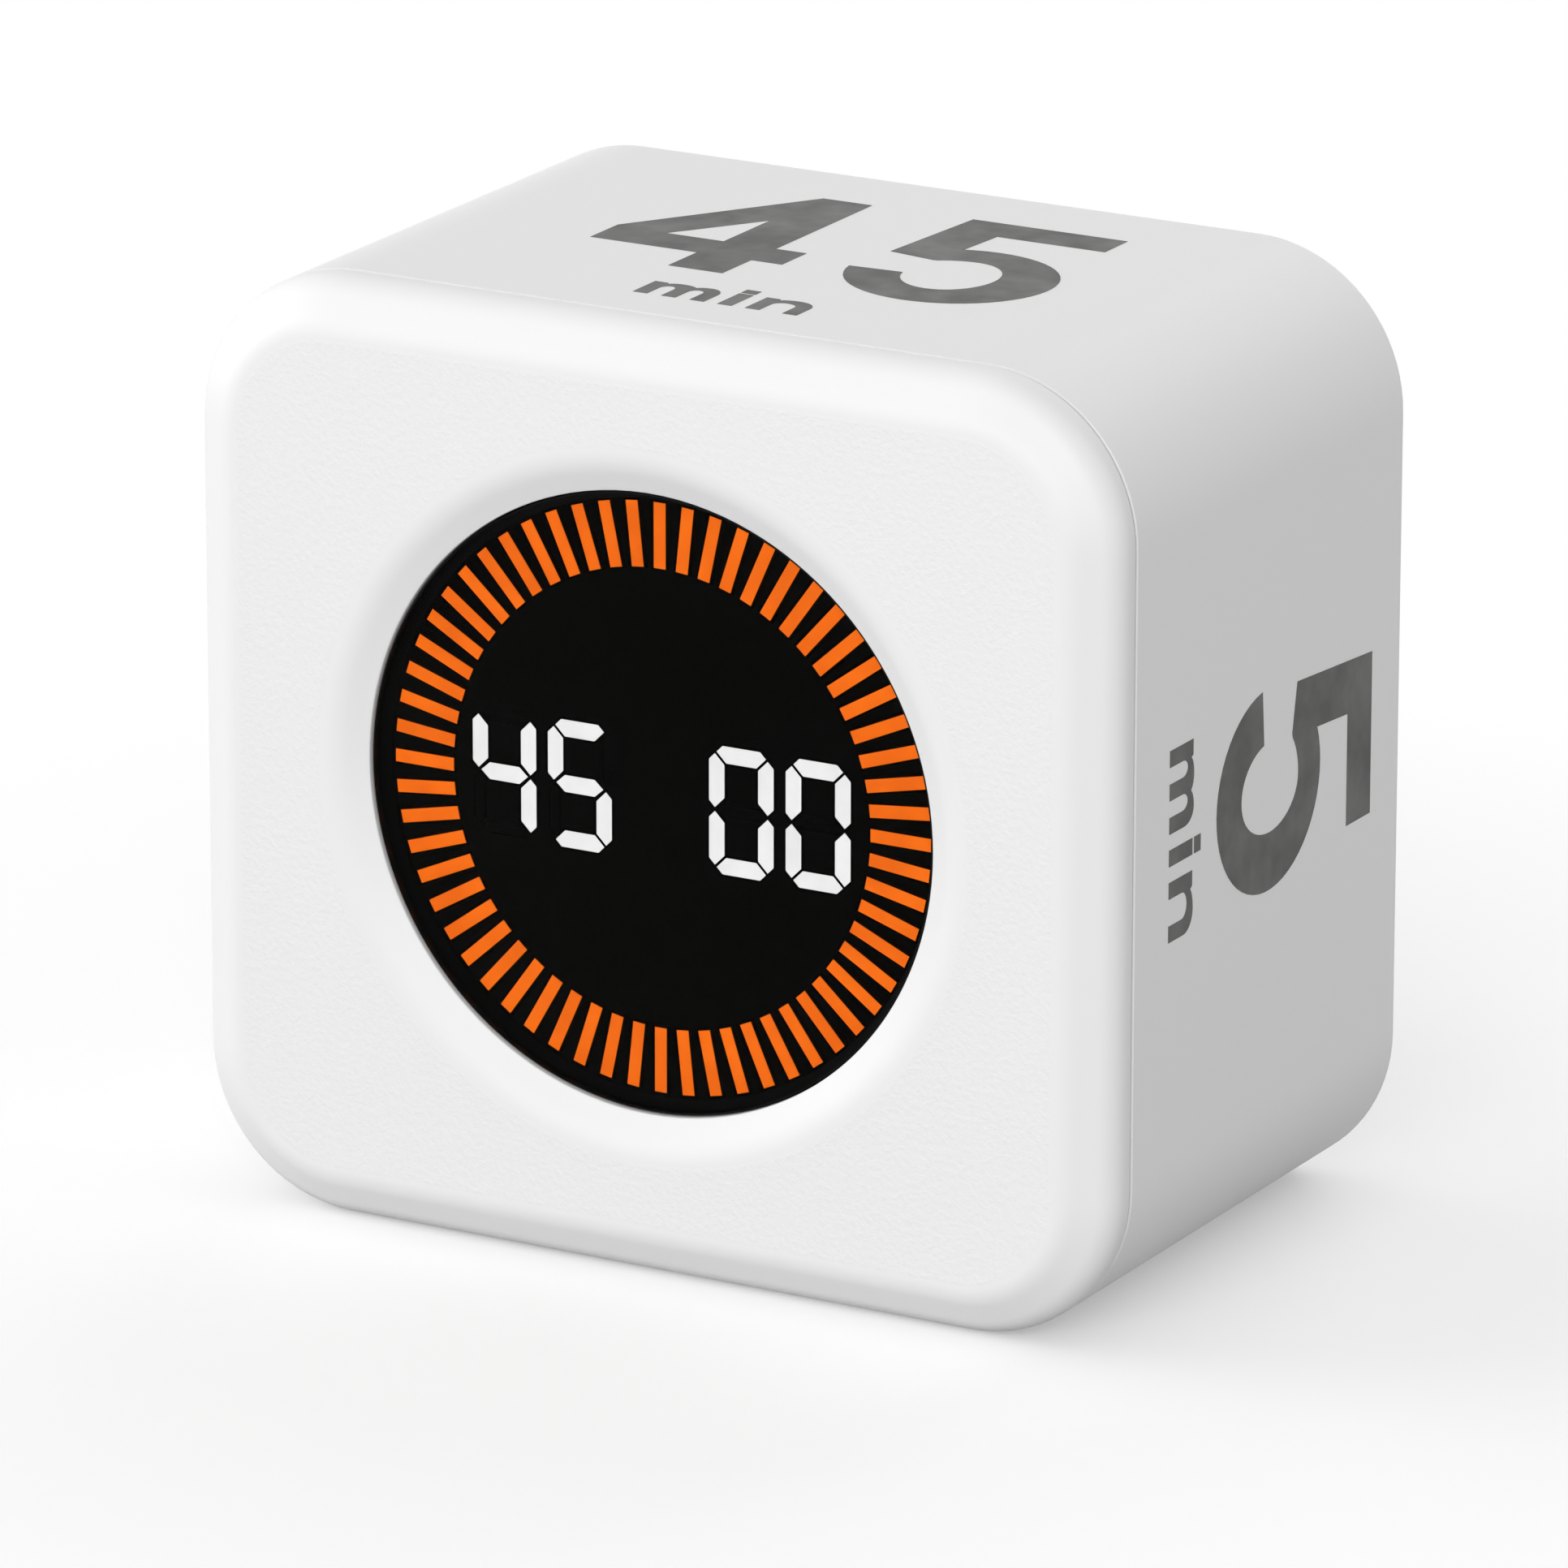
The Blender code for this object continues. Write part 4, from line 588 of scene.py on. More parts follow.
@dataclass(frozen=True)
class Finish:
    """A surface finish: two close shades, a roughness that varies a little, and a fine relief.

    The roughness goes from itself less the spread to itself plus the spread. The size is that of the
    pattern's features, and the relief is their height.
    """

    name: str
    slot: str
    shade: tuple[float, float, float]
    second: tuple[float, float, float]
    roughness: float
    spread: float
    pattern: Pattern
    size: float
    relief: float
    metallic: float = 0.0
    specular: float = 0.5

    def material(self) -> bpy.types.Material:
        """Makes the material, or finds it if it is made already.

        Returns:
            The material.
        """
        found = bpy.data.materials.get(self.name)
        if found:
            return found
        recipe = Recipe(self.name)
        recipe.made.diffuse_color = (*self.shade, 1)
        self.lay(recipe)
        return recipe.made

    def lay(self, recipe: Recipe) -> None:
        """Sets the shader and lays the nodes of an opaque finish.

        Args:
            recipe: The material being made.
        """
        recipe.shader.inputs["Metallic"].default_value = self.metallic
        recipe.shader.inputs["Specular IOR Level"].default_value = self.specular
        value = self.detail(recipe)
        recipe.link(recipe.mix(value, self.shade, self.second), recipe.shader.inputs["Base Color"])
        low, high = self.roughness - self.spread, self.roughness + self.spread
        recipe.link(recipe.spread(value, low, high, 0, 1), recipe.shader.inputs["Roughness"])

    def detail(self, recipe: Recipe) -> Socket:
        """Lays the pattern's nodes and its relief.

        Args:
            recipe: The material being made.

        Returns:
            A value from 0 to 1 that mixes the shades.
        """
        if self.pattern in (Pattern.TRACES, Pattern.CELLS):
            value = self.cells(recipe)
        else:
            value = recipe.noise(self.size, *STRETCHED.get(self.pattern, ()))
        value = recipe.spread(value, 0, 1)
        if self.pattern is Pattern.MARKED_GRAIN:
            mark = recipe.node("ShaderNodeAttribute", attribute_name="grain")
            value = recipe.multiply(value, mark.outputs["Fac"])
        recipe.relief(value, self.relief)
        return value

    def cells(self, recipe: Recipe) -> Socket:
        """A cell pattern: the distance to the nearest edge for foam, or to the nearest middle for tracks.

        The second is the larger of the distances along the axes, which makes square shapes.

        Args:
            recipe: The material being made.

        Returns:
            The distance, as the output socket.
        """
        places = recipe.node("ShaderNodeTexCoord")
        kind = "DISTANCE_TO_EDGE" if self.pattern is Pattern.CELLS else "F1"
        made = recipe.node("ShaderNodeTexVoronoi", feature=kind, Scale=1 / (self.size * METRE))
        if kind == "F1":
            made.distance = "CHEBYCHEV"
        recipe.link(places.outputs["Object"], made.inputs["Vector"])
        return made.outputs["Distance"]


@dataclass(frozen=True)
class Glow(Finish):
    """A lit light guide: it sends out its own colour, a little uneven in patches many times its grain."""

    light: tuple[float, float, float] = (1, 1, 1)
    dimmer: tuple[float, float, float] = (1, 1, 1)
    strength: float = 1.0
    patch: float = 8.0

    def lay(self, recipe: Recipe) -> None:
        """Lays the opaque finish and adds its light.

        Args:
            recipe: The material being made.
        """
        super().lay(recipe)
        value = recipe.spread(recipe.noise(self.size * self.patch), 0, 1)
        recipe.link(recipe.mix(value, self.dimmer, self.light), recipe.shader.inputs["Emission Color"])
        recipe.shader.inputs["Emission Strength"].default_value = self.strength


@dataclass(frozen=True)
class Window(Finish):
    """A smoked clear window with a coating that takes off most of its mirror gloss.

    The roughness goes from itself to itself plus the spread.
    """

    tint: tuple[float, float, float] = (0.5, 0.5, 0.5)
    gloss: float = 0.1
    index: float = 1.38

    def lay(self, recipe: Recipe) -> None:
        """Sets the shader to clear tinted plastic whose polish varies a little.

        Args:
            recipe: The material being made.
        """
        shader = recipe.shader
        shader.inputs["Base Color"].default_value = (*self.tint, 1)
        shader.inputs["Transmission Weight"].default_value = 1.0
        shader.inputs["IOR"].default_value = self.index
        shader.inputs["Specular Tint"].default_value = (self.gloss, self.gloss, self.gloss, 1)
        value = recipe.spread(recipe.noise(self.size), 0, 1)
        low, high = self.roughness, self.roughness + self.spread
        recipe.link(recipe.spread(value, low, high, 0, 1), shader.inputs["Roughness"])


SANDED = Finish(
    "sanded_white", "white_shell", shade=(0.893, 0.892, 0.893), second=(0.879, 0.878, 0.879),
    roughness=0.52, spread=0.04, pattern=Pattern.MARKED_GRAIN, size=0.36, relief=0.022,
)
MOULDED = Finish(
    "moulded_white", "white_shell", shade=(0.893, 0.892, 0.893), second=(0.885, 0.884, 0.885),
    roughness=0.46, spread=0.05, pattern=Pattern.GRAIN, size=0.12, relief=0.0015,
)
INK = Finish(
    "printed_grey", "white_shell", shade=(0.115, 0.113, 0.110), second=(0.085, 0.084, 0.082),
    roughness=0.62, spread=0.08, pattern=Pattern.BLOTCHES, size=2.6, relief=0.002,
)
SATIN = Finish(
    "satin_white", "control_white", shade=(0.82, 0.82, 0.81), second=(0.79, 0.79, 0.785), roughness=0.36,
    spread=0.05, pattern=Pattern.GRAIN, size=0.1, relief=0.001,
)
SMOKED = Window(
    "smoked_window", "smoked_lens", shade=(0.5, 0.5, 0.5), second=(0.5, 0.5, 0.5), roughness=0.003,
    spread=0.005, pattern=Pattern.GRAIN, size=1.5, relief=0.0, tint=(0.42, 0.42, 0.42), gloss=0.01,
)
# The display frame's two near-black shades in soft patches are painted sheen: the lighter black stands in for
# the faint grey gloss between the bars.
BLACK_WITH_PAINTED_SHEEN = Finish(
    "matte_black_painted_sheen", "black_frame", shade=(0.0012, 0.0012, 0.0012), second=(0.0022, 0.0022, 0.0022),
    roughness=0.75, spread=0.06, pattern=Pattern.BLOTCHES, size=1.6, relief=0.002, specular=0.03,
)
MASK = Finish(
    "window_mask", "smoked_lens", shade=(0.0012, 0.0012, 0.0012), second=(0.0018, 0.0018, 0.0018),
    roughness=0.35, spread=0.05, pattern=Pattern.GRAIN, size=0.3, relief=0.001, specular=0.1,
)
ORANGE = Glow(
    "lit_orange", "orange_guide", shade=(0.5, 0.1, 0.006), second=(0.45, 0.085, 0.004), roughness=0.4,
    spread=0.05, pattern=Pattern.GRAIN, size=0.25, relief=0.002, light=(1.0, 0.172, 0.002),
    dimmer=(0.85, 0.132, 0.001), strength=2.08,
)
LIT_WHITE = Glow(
    "lit_white", "white_guide", shade=(0.6, 0.6, 0.6), second=(0.55, 0.55, 0.55), roughness=0.4,
    spread=0.05, pattern=Pattern.GRAIN, size=0.25, relief=0.002, light=(1.0, 1.0, 1.0),
    dimmer=(0.9, 0.9, 0.905), strength=1.86,
)
UNLIT_WHITE = Finish(
    "unlit_guide", "white_guide", shade=(0.0016, 0.0016, 0.0016), second=(0.0012, 0.0012, 0.0012),
    roughness=0.6, spread=0.05, pattern=Pattern.GRAIN, size=0.25, relief=0.002, specular=0.03,
)
UNLIT_ORANGE = Finish(
    "unlit_orange_guide", "orange_guide", shade=(0.006, 0.0016, 0.0004), second=(0.004, 0.0012, 0.0004),
    roughness=0.6, spread=0.05, pattern=Pattern.GRAIN, size=0.25, relief=0.002, specular=0.03,
)
BOARD = Finish(
    "masked_board", "board_green", shade=(0.012, 0.085, 0.035), second=(0.03, 0.17, 0.07), roughness=0.42,
    spread=0.06, pattern=Pattern.TRACES, size=1.1, relief=0.02,
)
RESIN = Finish(
    "moulded_black", "chip_black", shade=(0.022, 0.022, 0.023), second=(0.035, 0.035, 0.036),
    roughness=0.5, spread=0.1, pattern=Pattern.GRAIN, size=0.15, relief=0.006,
)
NYLON = Finish(
    "cream_nylon", "connector_white", shade=(0.76, 0.73, 0.65), second=(0.70, 0.67, 0.59), roughness=0.45,
    spread=0.06, pattern=Pattern.GRAIN, size=0.3, relief=0.003,
)
STEEL = Finish(
    "nickel_plate", "steel", shade=(0.62, 0.61, 0.59), second=(0.50, 0.49, 0.48), roughness=0.28,
    spread=0.08, pattern=Pattern.BRUSHED, size=0.12, relief=0.002, metallic=1.0,
)
FOIL = Finish(
    "pouch_foil", "pouch_silver", shade=(0.58, 0.59, 0.61), second=(0.46, 0.47, 0.49), roughness=0.34,
    spread=0.1, pattern=Pattern.WRINKLES, size=3.5, relief=0.12, metallic=1.0,
)
TAPE = Finish(
    "foam_tape", "tape_black", shade=(0.03, 0.03, 0.031), second=(0.016, 0.016, 0.017), roughness=0.85,
    spread=0.08, pattern=Pattern.CELLS, size=0.18, relief=0.02,
)
FOAM = Finish(
    "open_foam", "foam_grey", shade=(0.14, 0.14, 0.14), second=(0.06, 0.06, 0.06), roughness=0.92,
    spread=0.05, pattern=Pattern.CELLS, size=0.35, relief=0.06,
)
BASKET = Finish(
    "coated_basket", "speaker_grey", shade=(0.19, 0.19, 0.20), second=(0.25, 0.25, 0.26), roughness=0.48,
    spread=0.08, pattern=Pattern.GRAIN, size=0.2, relief=0.005,
)
CONE = Finish(
    "paper_cone", "speaker_grey", shade=(0.05, 0.05, 0.052), second=(0.085, 0.085, 0.088), roughness=0.8,
    spread=0.08, pattern=Pattern.WRINKLES, size=0.6, relief=0.02,
)
RED = Finish(
    "red_silicone", "red_wire", shade=(0.56, 0.02, 0.018), second=(0.44, 0.014, 0.014), roughness=0.5,
    spread=0.06, pattern=Pattern.GRAIN, size=0.3, relief=0.004,
)
DARK = Finish(
    "black_silicone", "black_wire", shade=(0.022, 0.022, 0.022), second=(0.034, 0.034, 0.034),
    roughness=0.5, spread=0.06, pattern=Pattern.GRAIN, size=0.3, relief=0.004,
)
AMBER = Finish(
    "amber_ribbon", "ribbon_amber", shade=(0.55, 0.25, 0.04), second=(0.36, 0.15, 0.02), roughness=0.3,
    spread=0.06, pattern=Pattern.STRIPES, size=0.5, relief=0.01,
)
GOLD = Finish(
    "gold_contact", "steel", shade=(0.86, 0.62, 0.26), second=(0.78, 0.54, 0.21), roughness=0.26,
    spread=0.06, pattern=Pattern.BRUSHED, size=0.1, relief=0.001, metallic=1.0,
)


# Places that the shells and the controls share

CORNERS = ((-1, -1), (-1, 1), (1, -1), (1, 1))
POST_ACROSS, POST_UP = 23.60, 21.85
REAR_PARTS_FRONT = 27.8
BUTTON_ACROSS, BUTTON_UP = 12.5, -13.65
SLIDE_UP, USB_UP = -6.0, -20.4


# Shells


@dataclass
class Shells:
    """The front bezel, the housing behind it and the inset rear cover.

    A boss, a post or a standoff is (radius, bore, front, back), and a hole's size is (half width, half
    height, corner). A break is the radius of a small rounded edge, and a run is how far a flat goes on.
    """

    half_width: float = 29.75
    half_height: float = 28.0
    corner: float = 9.4
    front_edge: float = 2.6
    front_slope: float = 30.0
    front_run: float = 0.9
    front_rows: int = 8
    slope_start: float = 2.4
    slope_end: float = 1.9
    bezel_back: float = 3.16
    housing_front: float = 3.34
    total: float = 36.0
    rear_edge: float = 0.4
    wall: float = 1.8
    wall_breaks: tuple[float, float] = (0.1, 0.2)
    lip_break: float = 0.12
    lip: tuple[tuple[float, float], ...] = ((2.1, 2.9), (2.1, 5.6), (3.3, 5.6), (3.3, 2.9))
    ledge: tuple[tuple[float, float], ...] = ((1.3, 31.8), (1.3, 33.0), (3.0, 33.0), (3.0, 31.8))
    dish_outer: float = 20.1
    dish_turn: float = 3.0
    dish_run: float = 1.1
    opening: float = 18.3
    opening_breaks: tuple[float, float] = (0.12, 0.05)
    dish_depth: float = 1.0
    lip_back: float = 1.7
    pocket: float = 20.0
    boss_place: float = 16.05
    boss_breaks: tuple[float, float] = (0.15, 0.1)
    case_boss: tuple[float, ...] = (2.6, 1.1, 2.7, 11.3)
    display_boss: tuple[float, ...] = (2.2, 0.9, 2.7, 7.5)
    post: tuple[float, ...] = (3.5, 1.2, 13.1, 33.0)
    standoff: tuple[float, ...] = (2.2, 0.9, REAR_PARTS_FRONT, 33.5)
    cover_front: float = 33.3
    cover_back: float = 35.4
    cover_inset: float = 2.05
    cover_break: float = 0.2
    cover_run: float = 0.6
    standoff_across: float = 16.6
    standoff_ups: tuple[float, float] = (-22.41, -4.89)
    speaker_up: float = 11.0
    cup_inner: float = 10.5
    cup_outer: float = 11.5
    cup_break: float = 0.2
    grille_rings: int = 3
    grille_pitch: float = 2.4
    grille_hole: float = 0.6
    button_hole: float = 4.1
    port_hole: tuple[float, ...] = (4.75, 1.9, 1.86)
    slot_hole: tuple[float, ...] = (4.9, 1.8, 0.9)
    hole_break: float = 0.15
    hole_run: float = 0.3
    screw_hole: float = 2.0
    screw_step: float = 0.8
    screw_seat: float = 34.1
    seat_break: float = 0.1
    cup_back: float = 33.5

    def outline(self) -> Outline:
        """The shell's outline seen from the front."""
        return Outline(self.half_width, self.half_height, self.corner)

    def bezel(self) -> bpy.types.Object:
        """Builds the bezel.

        Its rows run from the rear outer edge over a soft turn and a sloping band to the flat front. Across
        the flat they turn from the outline to a circle: a point is (1 - s) times the outline's plus s times
        the circle's. They go down the dish and through the opening, and then back along the pocket.

        Returns:
            The piece.
        """
        outline = self.outline()
        drop = self.front_edge * math.tan(math.radians(self.front_slope))
        edge = soften(
            [
                (self.wall, self.bezel_back, 0),
                (0, self.bezel_back, self.lip_break),
                (0, drop, self.slope_end),
                (self.front_edge, 0, self.slope_start),
                (self.front_edge + self.front_run, 0, 0),
            ],
            steps=12,
        )
        dish = soften(
            [
                (self.dish_outer + self.dish_run, 0, 0),
                (self.dish_outer, 0, self.dish_turn),
                (self.opening, self.dish_depth, self.opening_breaks[0]),
                (self.opening, self.lip_back, self.opening_breaks[1]),
                (self.pocket, self.lip_back, 0),
                (self.pocket, self.bezel_back, 0),
            ],
            steps=9,
        )
        outer = outline.at(edge[:, 0])
        round_rows = outline.matched(dish[:, 0])
        share = np.linspace(0, 1, self.front_rows)[1:-1, None, None]
        between = (1 - share) * outer[-1:] + share * round_rows[:1]
        flat = np.concatenate([outer, between, round_rows])
        depth = np.concatenate([edge[:, 1], np.zeros(len(between)), dish[:, 1]])
        smooth, rough = np.zeros(len(edge) - 1), np.ones(len(between) + 2)
        grained = np.concatenate([smooth, rough, np.zeros(len(dish) - 1)])
        form = Form()
        form.grid(raised(flat, depth), loop=True, mark=grained)
        form.sweep(outline, np.array(self.lip), loop=True)
        for side, level in CORNERS:
            self.boss(form, (side * POST_ACROSS, level * POST_UP), *self.case_boss)
            self.boss(form, (side * self.boss_place, level * self.boss_place), *self.display_boss)
        made = form.piece("bezel_skin", [SANDED], "case")
        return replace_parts(made, "front_bezel")

    def boss(
        self, form: Form, centre: tuple[float, float], radius: float, bore: float, front: float, back: float
    ) -> None:
        """Adds a hollow boss, a ring-shaped profile turned round its axis.

        Args:
            form: The form that it belongs to.
            centre: Its axis's (across, up).
            radius: Its outer radius.
            bore: Its bore's radius.
            front: The depth of its front.
            back: The depth of its back.
        """
        outer, inner = self.boss_breaks
        profile = [(radius, front, 0), (radius, back, outer), (bore, back, inner), (bore, front, 0)]
        form.lathe(soften(profile, 4), centre, steps=32, loop=True)

    def housing(self) -> bpy.types.Object:
        """Builds the housing: a closed profile round the outline, its ledge and its four posts.

        Returns:
            The piece.
        """
        outline = self.outline()
        profile = soften(
            [
                (self.wall, self.housing_front, self.wall_breaks[0]),
                (0, self.housing_front, self.lip_break),
                (0, self.total, self.rear_edge),
                (self.wall, self.total, self.wall_breaks[1]),
            ],
            steps=8,
            closed=True,
        )
        form = Form()
        form.sweep(outline, profile, loop=True)
        form.sweep(outline, np.array(self.ledge), loop=True)
        for side, level in CORNERS:
            self.boss(form, (side * POST_ACROSS, level * POST_UP), *self.post)
        made = form.piece("housing_skin", [MOULDED], "case")
        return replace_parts(made, "main_housing")

    def hole_lip(self, form: Form, rim: Outline, depths: Array) -> Array:
        """Adds a hole's lip and wall from (inset, depth) rows, and gives its loop on the outer face."""
        form.sweep(rim, depths, caps=False)
        return rim.at(depths[:1, 0])[0]

    def openings(self) -> list[Outline]:
        """The cover's through holes: charging port, slider slot, two buttons and the speaker grille.

        The grille has a hole in the middle and six more in each further ring than in the one before.

        Returns:
            The holes' outlines.
        """
        port = Outline(*self.port_hole, corner_steps=10, side_steps=6, up=USB_UP)
        slot = Outline(*self.slot_hole, corner_steps=8, side_steps=6, up=SLIDE_UP)
        holes = [port, slot]
        for side in (-1, 1):
            holes.append(Outline.circle(self.button_hole, 16, side * BUTTON_ACROSS, BUTTON_UP))
        for ring in range(self.grille_rings):
            count = max(1, 6 * ring)
            for i in range(count):
                turn = 2 * math.pi * i / count
                across = ring * self.grille_pitch * math.cos(turn)
                up = self.speaker_up + ring * self.grille_pitch * math.sin(turn)
                holes.append(Outline.circle(self.grille_hole, 6, across, up))
        return holes

    def cover(self) -> bpy.types.Object:
        """Builds the rear cover: a plate with a soft lip at every hole, its standoffs and its speaker cup.

        Returns:
            The piece.
        """
        form = Form()
        edge = soften(
            [
                (self.cover_inset, self.cover_front, 0),
                (self.cover_inset, self.cover_back, self.cover_break),
                (self.cover_inset + self.cover_run, self.cover_back, 0),
            ],
            steps=5,
        )
        form.sweep(self.outline(), edge, caps=False)
        near, far = ([row] for row in self.outline().at(edge[[0, -1], 0]))
        top = [(-self.hole_run, self.cover_back, 0), (0, self.cover_back, self.hole_break)]
        through = soften([*top, (0, self.cover_front, 0)], 4)
        for rim in self.openings():
            far.append(self.hole_lip(form, rim, through))
            near.append(rim.at(np.array([0.0]))[0])
        step, seat = self.screw_step, self.screw_seat
        recess = soften([*top, (0, seat, self.seat_break), (step, seat, 0), (step, self.cover_front, 0)], 4)
        for side, level in CORNERS:
            rim = Outline.circle(self.screw_hole, 12, side * POST_ACROSS, level * POST_UP)
            far.append(self.hole_lip(form, rim, recess))
            near.append(rim.at(np.array([step]))[0])
        form.flat(far, self.cover_back)
        form.flat(near, self.cover_front)
        for side in (-1, 1):
            for level in self.standoff_ups:
                self.boss(form, (side * self.standoff_across, level), *self.standoff)
        cup = [(self.cup_outer, REAR_PARTS_FRONT, self.cup_break), (self.cup_outer, self.cup_back, 0)]
        cup += [(self.cup_inner, self.cup_back, 0), (self.cup_inner, REAR_PARTS_FRONT, self.cup_break)]
        form.lathe(soften(cup, 3, closed=True), (0, self.speaker_up), steps=72, loop=True)
        made = form.piece("cover_skin", [MOULDED], "case", sharp=35)
        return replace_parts(made, "rear_cover")


# Display


class Reading(Enum):
    """Which of a digit's seven segments are lit: top, middle, bottom, lower left, upper left, lower right and
    upper right."""

    FOUR = (False, True, False, False, True, True, True)
    FIVE = (True, True, True, False, True, True, False)
    ZERO = (True, False, True, True, True, True, True)


@dataclass(frozen=True)
class Segments:
    """The seven segments of a digit: bars whose ends come to a point that leans to the digit's outside."""

    width: float
    height: float
    thickness: float
    gap: float
    lean: float

    def outlines(self, middle: float, inset: float = 0.0) -> list[Array]:
        """The outlines of the segments, in the order of Reading.

        Each end is cut at 45 degrees on both sides of its point.

        Args:
            middle: The digit's middle across.
            inset: How far each outline is moved inwards.

        Returns:
            Six (across, up) corners for each segment.
        """
        half, gap, lean = self.thickness / 2 - inset, self.gap + inset, self.lean
        side, level = self.width / 2 - self.thickness / 2, self.height / 2 - self.thickness / 2
        lying = [(side - gap - half, level - half), (side - gap + lean, level + lean)]
        lying.append((side - gap - half + 2 * lean, level + half))
        centre = [(side - gap - half, -half), (side - gap + lean / 2, 0), (side - gap - half, half)]
        upright = [(side - half, level - half - gap), (side + lean, level - gap + lean)]
        upright += [(side + half, level - half - gap + 2 * lean), (side + half, gap + half - lean)]
        upright += [(side + lean, gap), (side - half, gap + half + lean)]
        lying, centre, upright = np.array(lying), np.array(centre), np.array(upright)
        rows = [np.concatenate([row, row[::-1] * (-1, 1)]) for row in (lying, centre)]
        made = [rows[0], rows[1], rows[0] * (1, -1)]
        made += [upright * (across, up) for across in (-1, 1) for up in (-1, 1)]
        return [outline + (middle, 0) for outline in made]


@dataclass
class Display:
    """The smoked window, the ring of bars and the four digits behind it."""

    lens_radius: float = 18.2
    flange_radius: float = 19.7
    mask_front: float = 18.1
    mask_back: float = 17.6
    lens_front: float = 1.2
    flange_front: float = 2.1
    lens_back: float = 2.8
    lens_break: float = 0.06
    flange_breaks: tuple[float, float] = (0.05, 0.1)
    lens_steps: int = 160
    tips: Segments = Segments(4.17, 7.56, 1.0, 0.115, 0.12)
    stems: Segments = Segments(4.099, 7.398, 0.5, 0.2, 0.0)
    digit_width: float = 4.099
    digit_height: float = 7.398
    digit_pitch: float = 4.946
    pair_offset: float = 7.724
    bars: int = 60
    bar_inner: float = 13.55
    bar_outer: float = 17.4
    bar_width: float = 0.77
    stem_width: float = 0.6
    stem_inset: float = 0.1
    ease: float = 0.03
    tip_front: float = 2.95
    tip_back: float = 3.07
    unlit_drop: float = 0.1
    overlap: float = 0.1
    guide_front: float = 6.4
    guide_back: float = 7.0
    ring_rim: float = 0.4
    plate_rim: float = 0.15
    plate_corner: float = 0.3
    reading: tuple[Reading, ...] = (Reading.FOUR, Reading.FIVE, Reading.ZERO, Reading.ZERO)

    def lens(self) -> bpy.types.Object:
        """Builds the window, a flanged disc that is clear in the middle and has a black mask round its rim.

        Returns:
            The piece.
        """
        inner, outer = self.flange_breaks
        edge = soften(
            [
                (self.mask_front, self.lens_front, 0),
                (self.lens_radius, self.lens_front, self.lens_break),
                (self.lens_radius, self.flange_front, inner),
                (self.flange_radius, self.flange_front, outer),
                (self.flange_radius, self.lens_back, outer),
                (self.mask_back, self.lens_back, 0),
            ],
            steps=6,
        )
        form = Form()
        for radius, depth in (edge[0], edge[-1]):
            form.lathe(np.array([(0, depth), (radius, depth)]), steps=self.lens_steps, caps=False)
        form.lathe(edge, steps=self.lens_steps, caps=False, slot=1)
        made = form.piece("window_skin", [SMOKED, MASK], "case")
        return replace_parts(made, "display_lens")

    def peg(self, form: Form, tip: tuple[Array, Array], stem: Array, lit: bool) -> None:
        """Adds a peg of a light guide: a flat tip just proud of the frame, on a stem in the frame's window.

        Only the tip's face and its eased edge are lit. An unlit peg is a plain stem.

        Args:
            form: The light guide's form.
            tip: The tip's outline at its face and, a little wider, behind its eased edge.
            stem: The stem's outline.
            lit: True if it is lit.
        """
        near, far = self.tip_front, self.tip_back
        if not lit:
            near, far = self.tip_back + self.unlit_drop, self.tip_back + 2 * self.unlit_drop
        face, wide = tip if lit else (stem, stem)
        depths = np.array([near, near + self.ease, far, far, self.guide_front + self.overlap])
        rows = raised(np.stack([face, wide, wide, stem, stem]), depths)
        slot = 0 if lit else 1
        form.grid(rows[:2], caps=False, slot=slot)
        form.grid(rows[1:], caps=False, slot=1)
        form.add(rows[0], [fan(len(stem))], slot)
        form.add(rows[-1], [fan(len(stem))], 1)

    def bar(self, turn: float, width: float, inset: float) -> Array:
        """The outline of a bar of the ring: a rectangle that points away from the middle.

        Args:
            turn: Its bearing, in radians.
            width: Its width.
            inset: How far the outline is moved inwards.

        Returns:
            Its four corners.
        """
        outwards = np.array([math.cos(turn), math.sin(turn)])
        sideways = np.array([-outwards[1], outwards[0]])
        near, far, half = self.bar_inner + inset, self.bar_outer - inset, width / 2 - inset
        corners = ((near, -half), (far, -half), (far, half), (near, half))
        return np.array([outwards * along + sideways * side for along, side in corners])

    def ring(self) -> bpy.types.Object:
        """Builds the ring's light guide: its bars on a flat ring.

        Returns:
            The piece.
        """
        form = Form()
        for turn in np.arange(self.bars) * 2 * math.pi / self.bars:
            tip = (self.bar(turn, self.bar_width, self.ease), self.bar(turn, self.bar_width, 0))
            self.peg(form, tip, self.bar(turn, self.stem_width, self.stem_inset), True)
        outer, inner = self.bar_outer + self.ring_rim, self.bar_inner - self.ring_rim
        base = [(outer, self.guide_front), (outer, self.guide_back), (inner, self.guide_back)]
        form.lathe(np.array([*base, (inner, self.guide_front)]), steps=120, loop=True, slot=1)
        made = form.piece("ring_skin", [ORANGE, UNLIT_ORANGE], "case", sharp=20)
        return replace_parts(made, "ring_light_guide")

    def digit(self, number: int, middle: float, reading: Reading) -> bpy.types.Object:
        """Builds one digit's light guide: seven segments on a plate.

        Args:
            number: Its place from the left, from 1.
            middle: Its middle across.
            reading: Which segments are lit.

        Returns:
            The piece.
        """
        form = Form()
        tips = zip(self.tips.outlines(middle, self.ease), self.tips.outlines(middle))
        for tip, stem, lit in zip(tips, self.stems.outlines(middle), reading.value):
            self.peg(form, tip, stem, lit)
        half_width = self.digit_width / 2 + self.plate_rim
        half_height = self.digit_height / 2 + self.plate_rim
        base = Outline(half_width, half_height, self.plate_corner, 4, 2, middle)
        profile = np.array([(0, self.guide_front), (0, self.guide_back)])
        form.sweep(base, profile, slot=1)
        made = form.piece(f"digit_skin_{number}", [LIT_WHITE, UNLIT_WHITE], "case", sharp=20)
        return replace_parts(made, f"digit_guide_{number}")

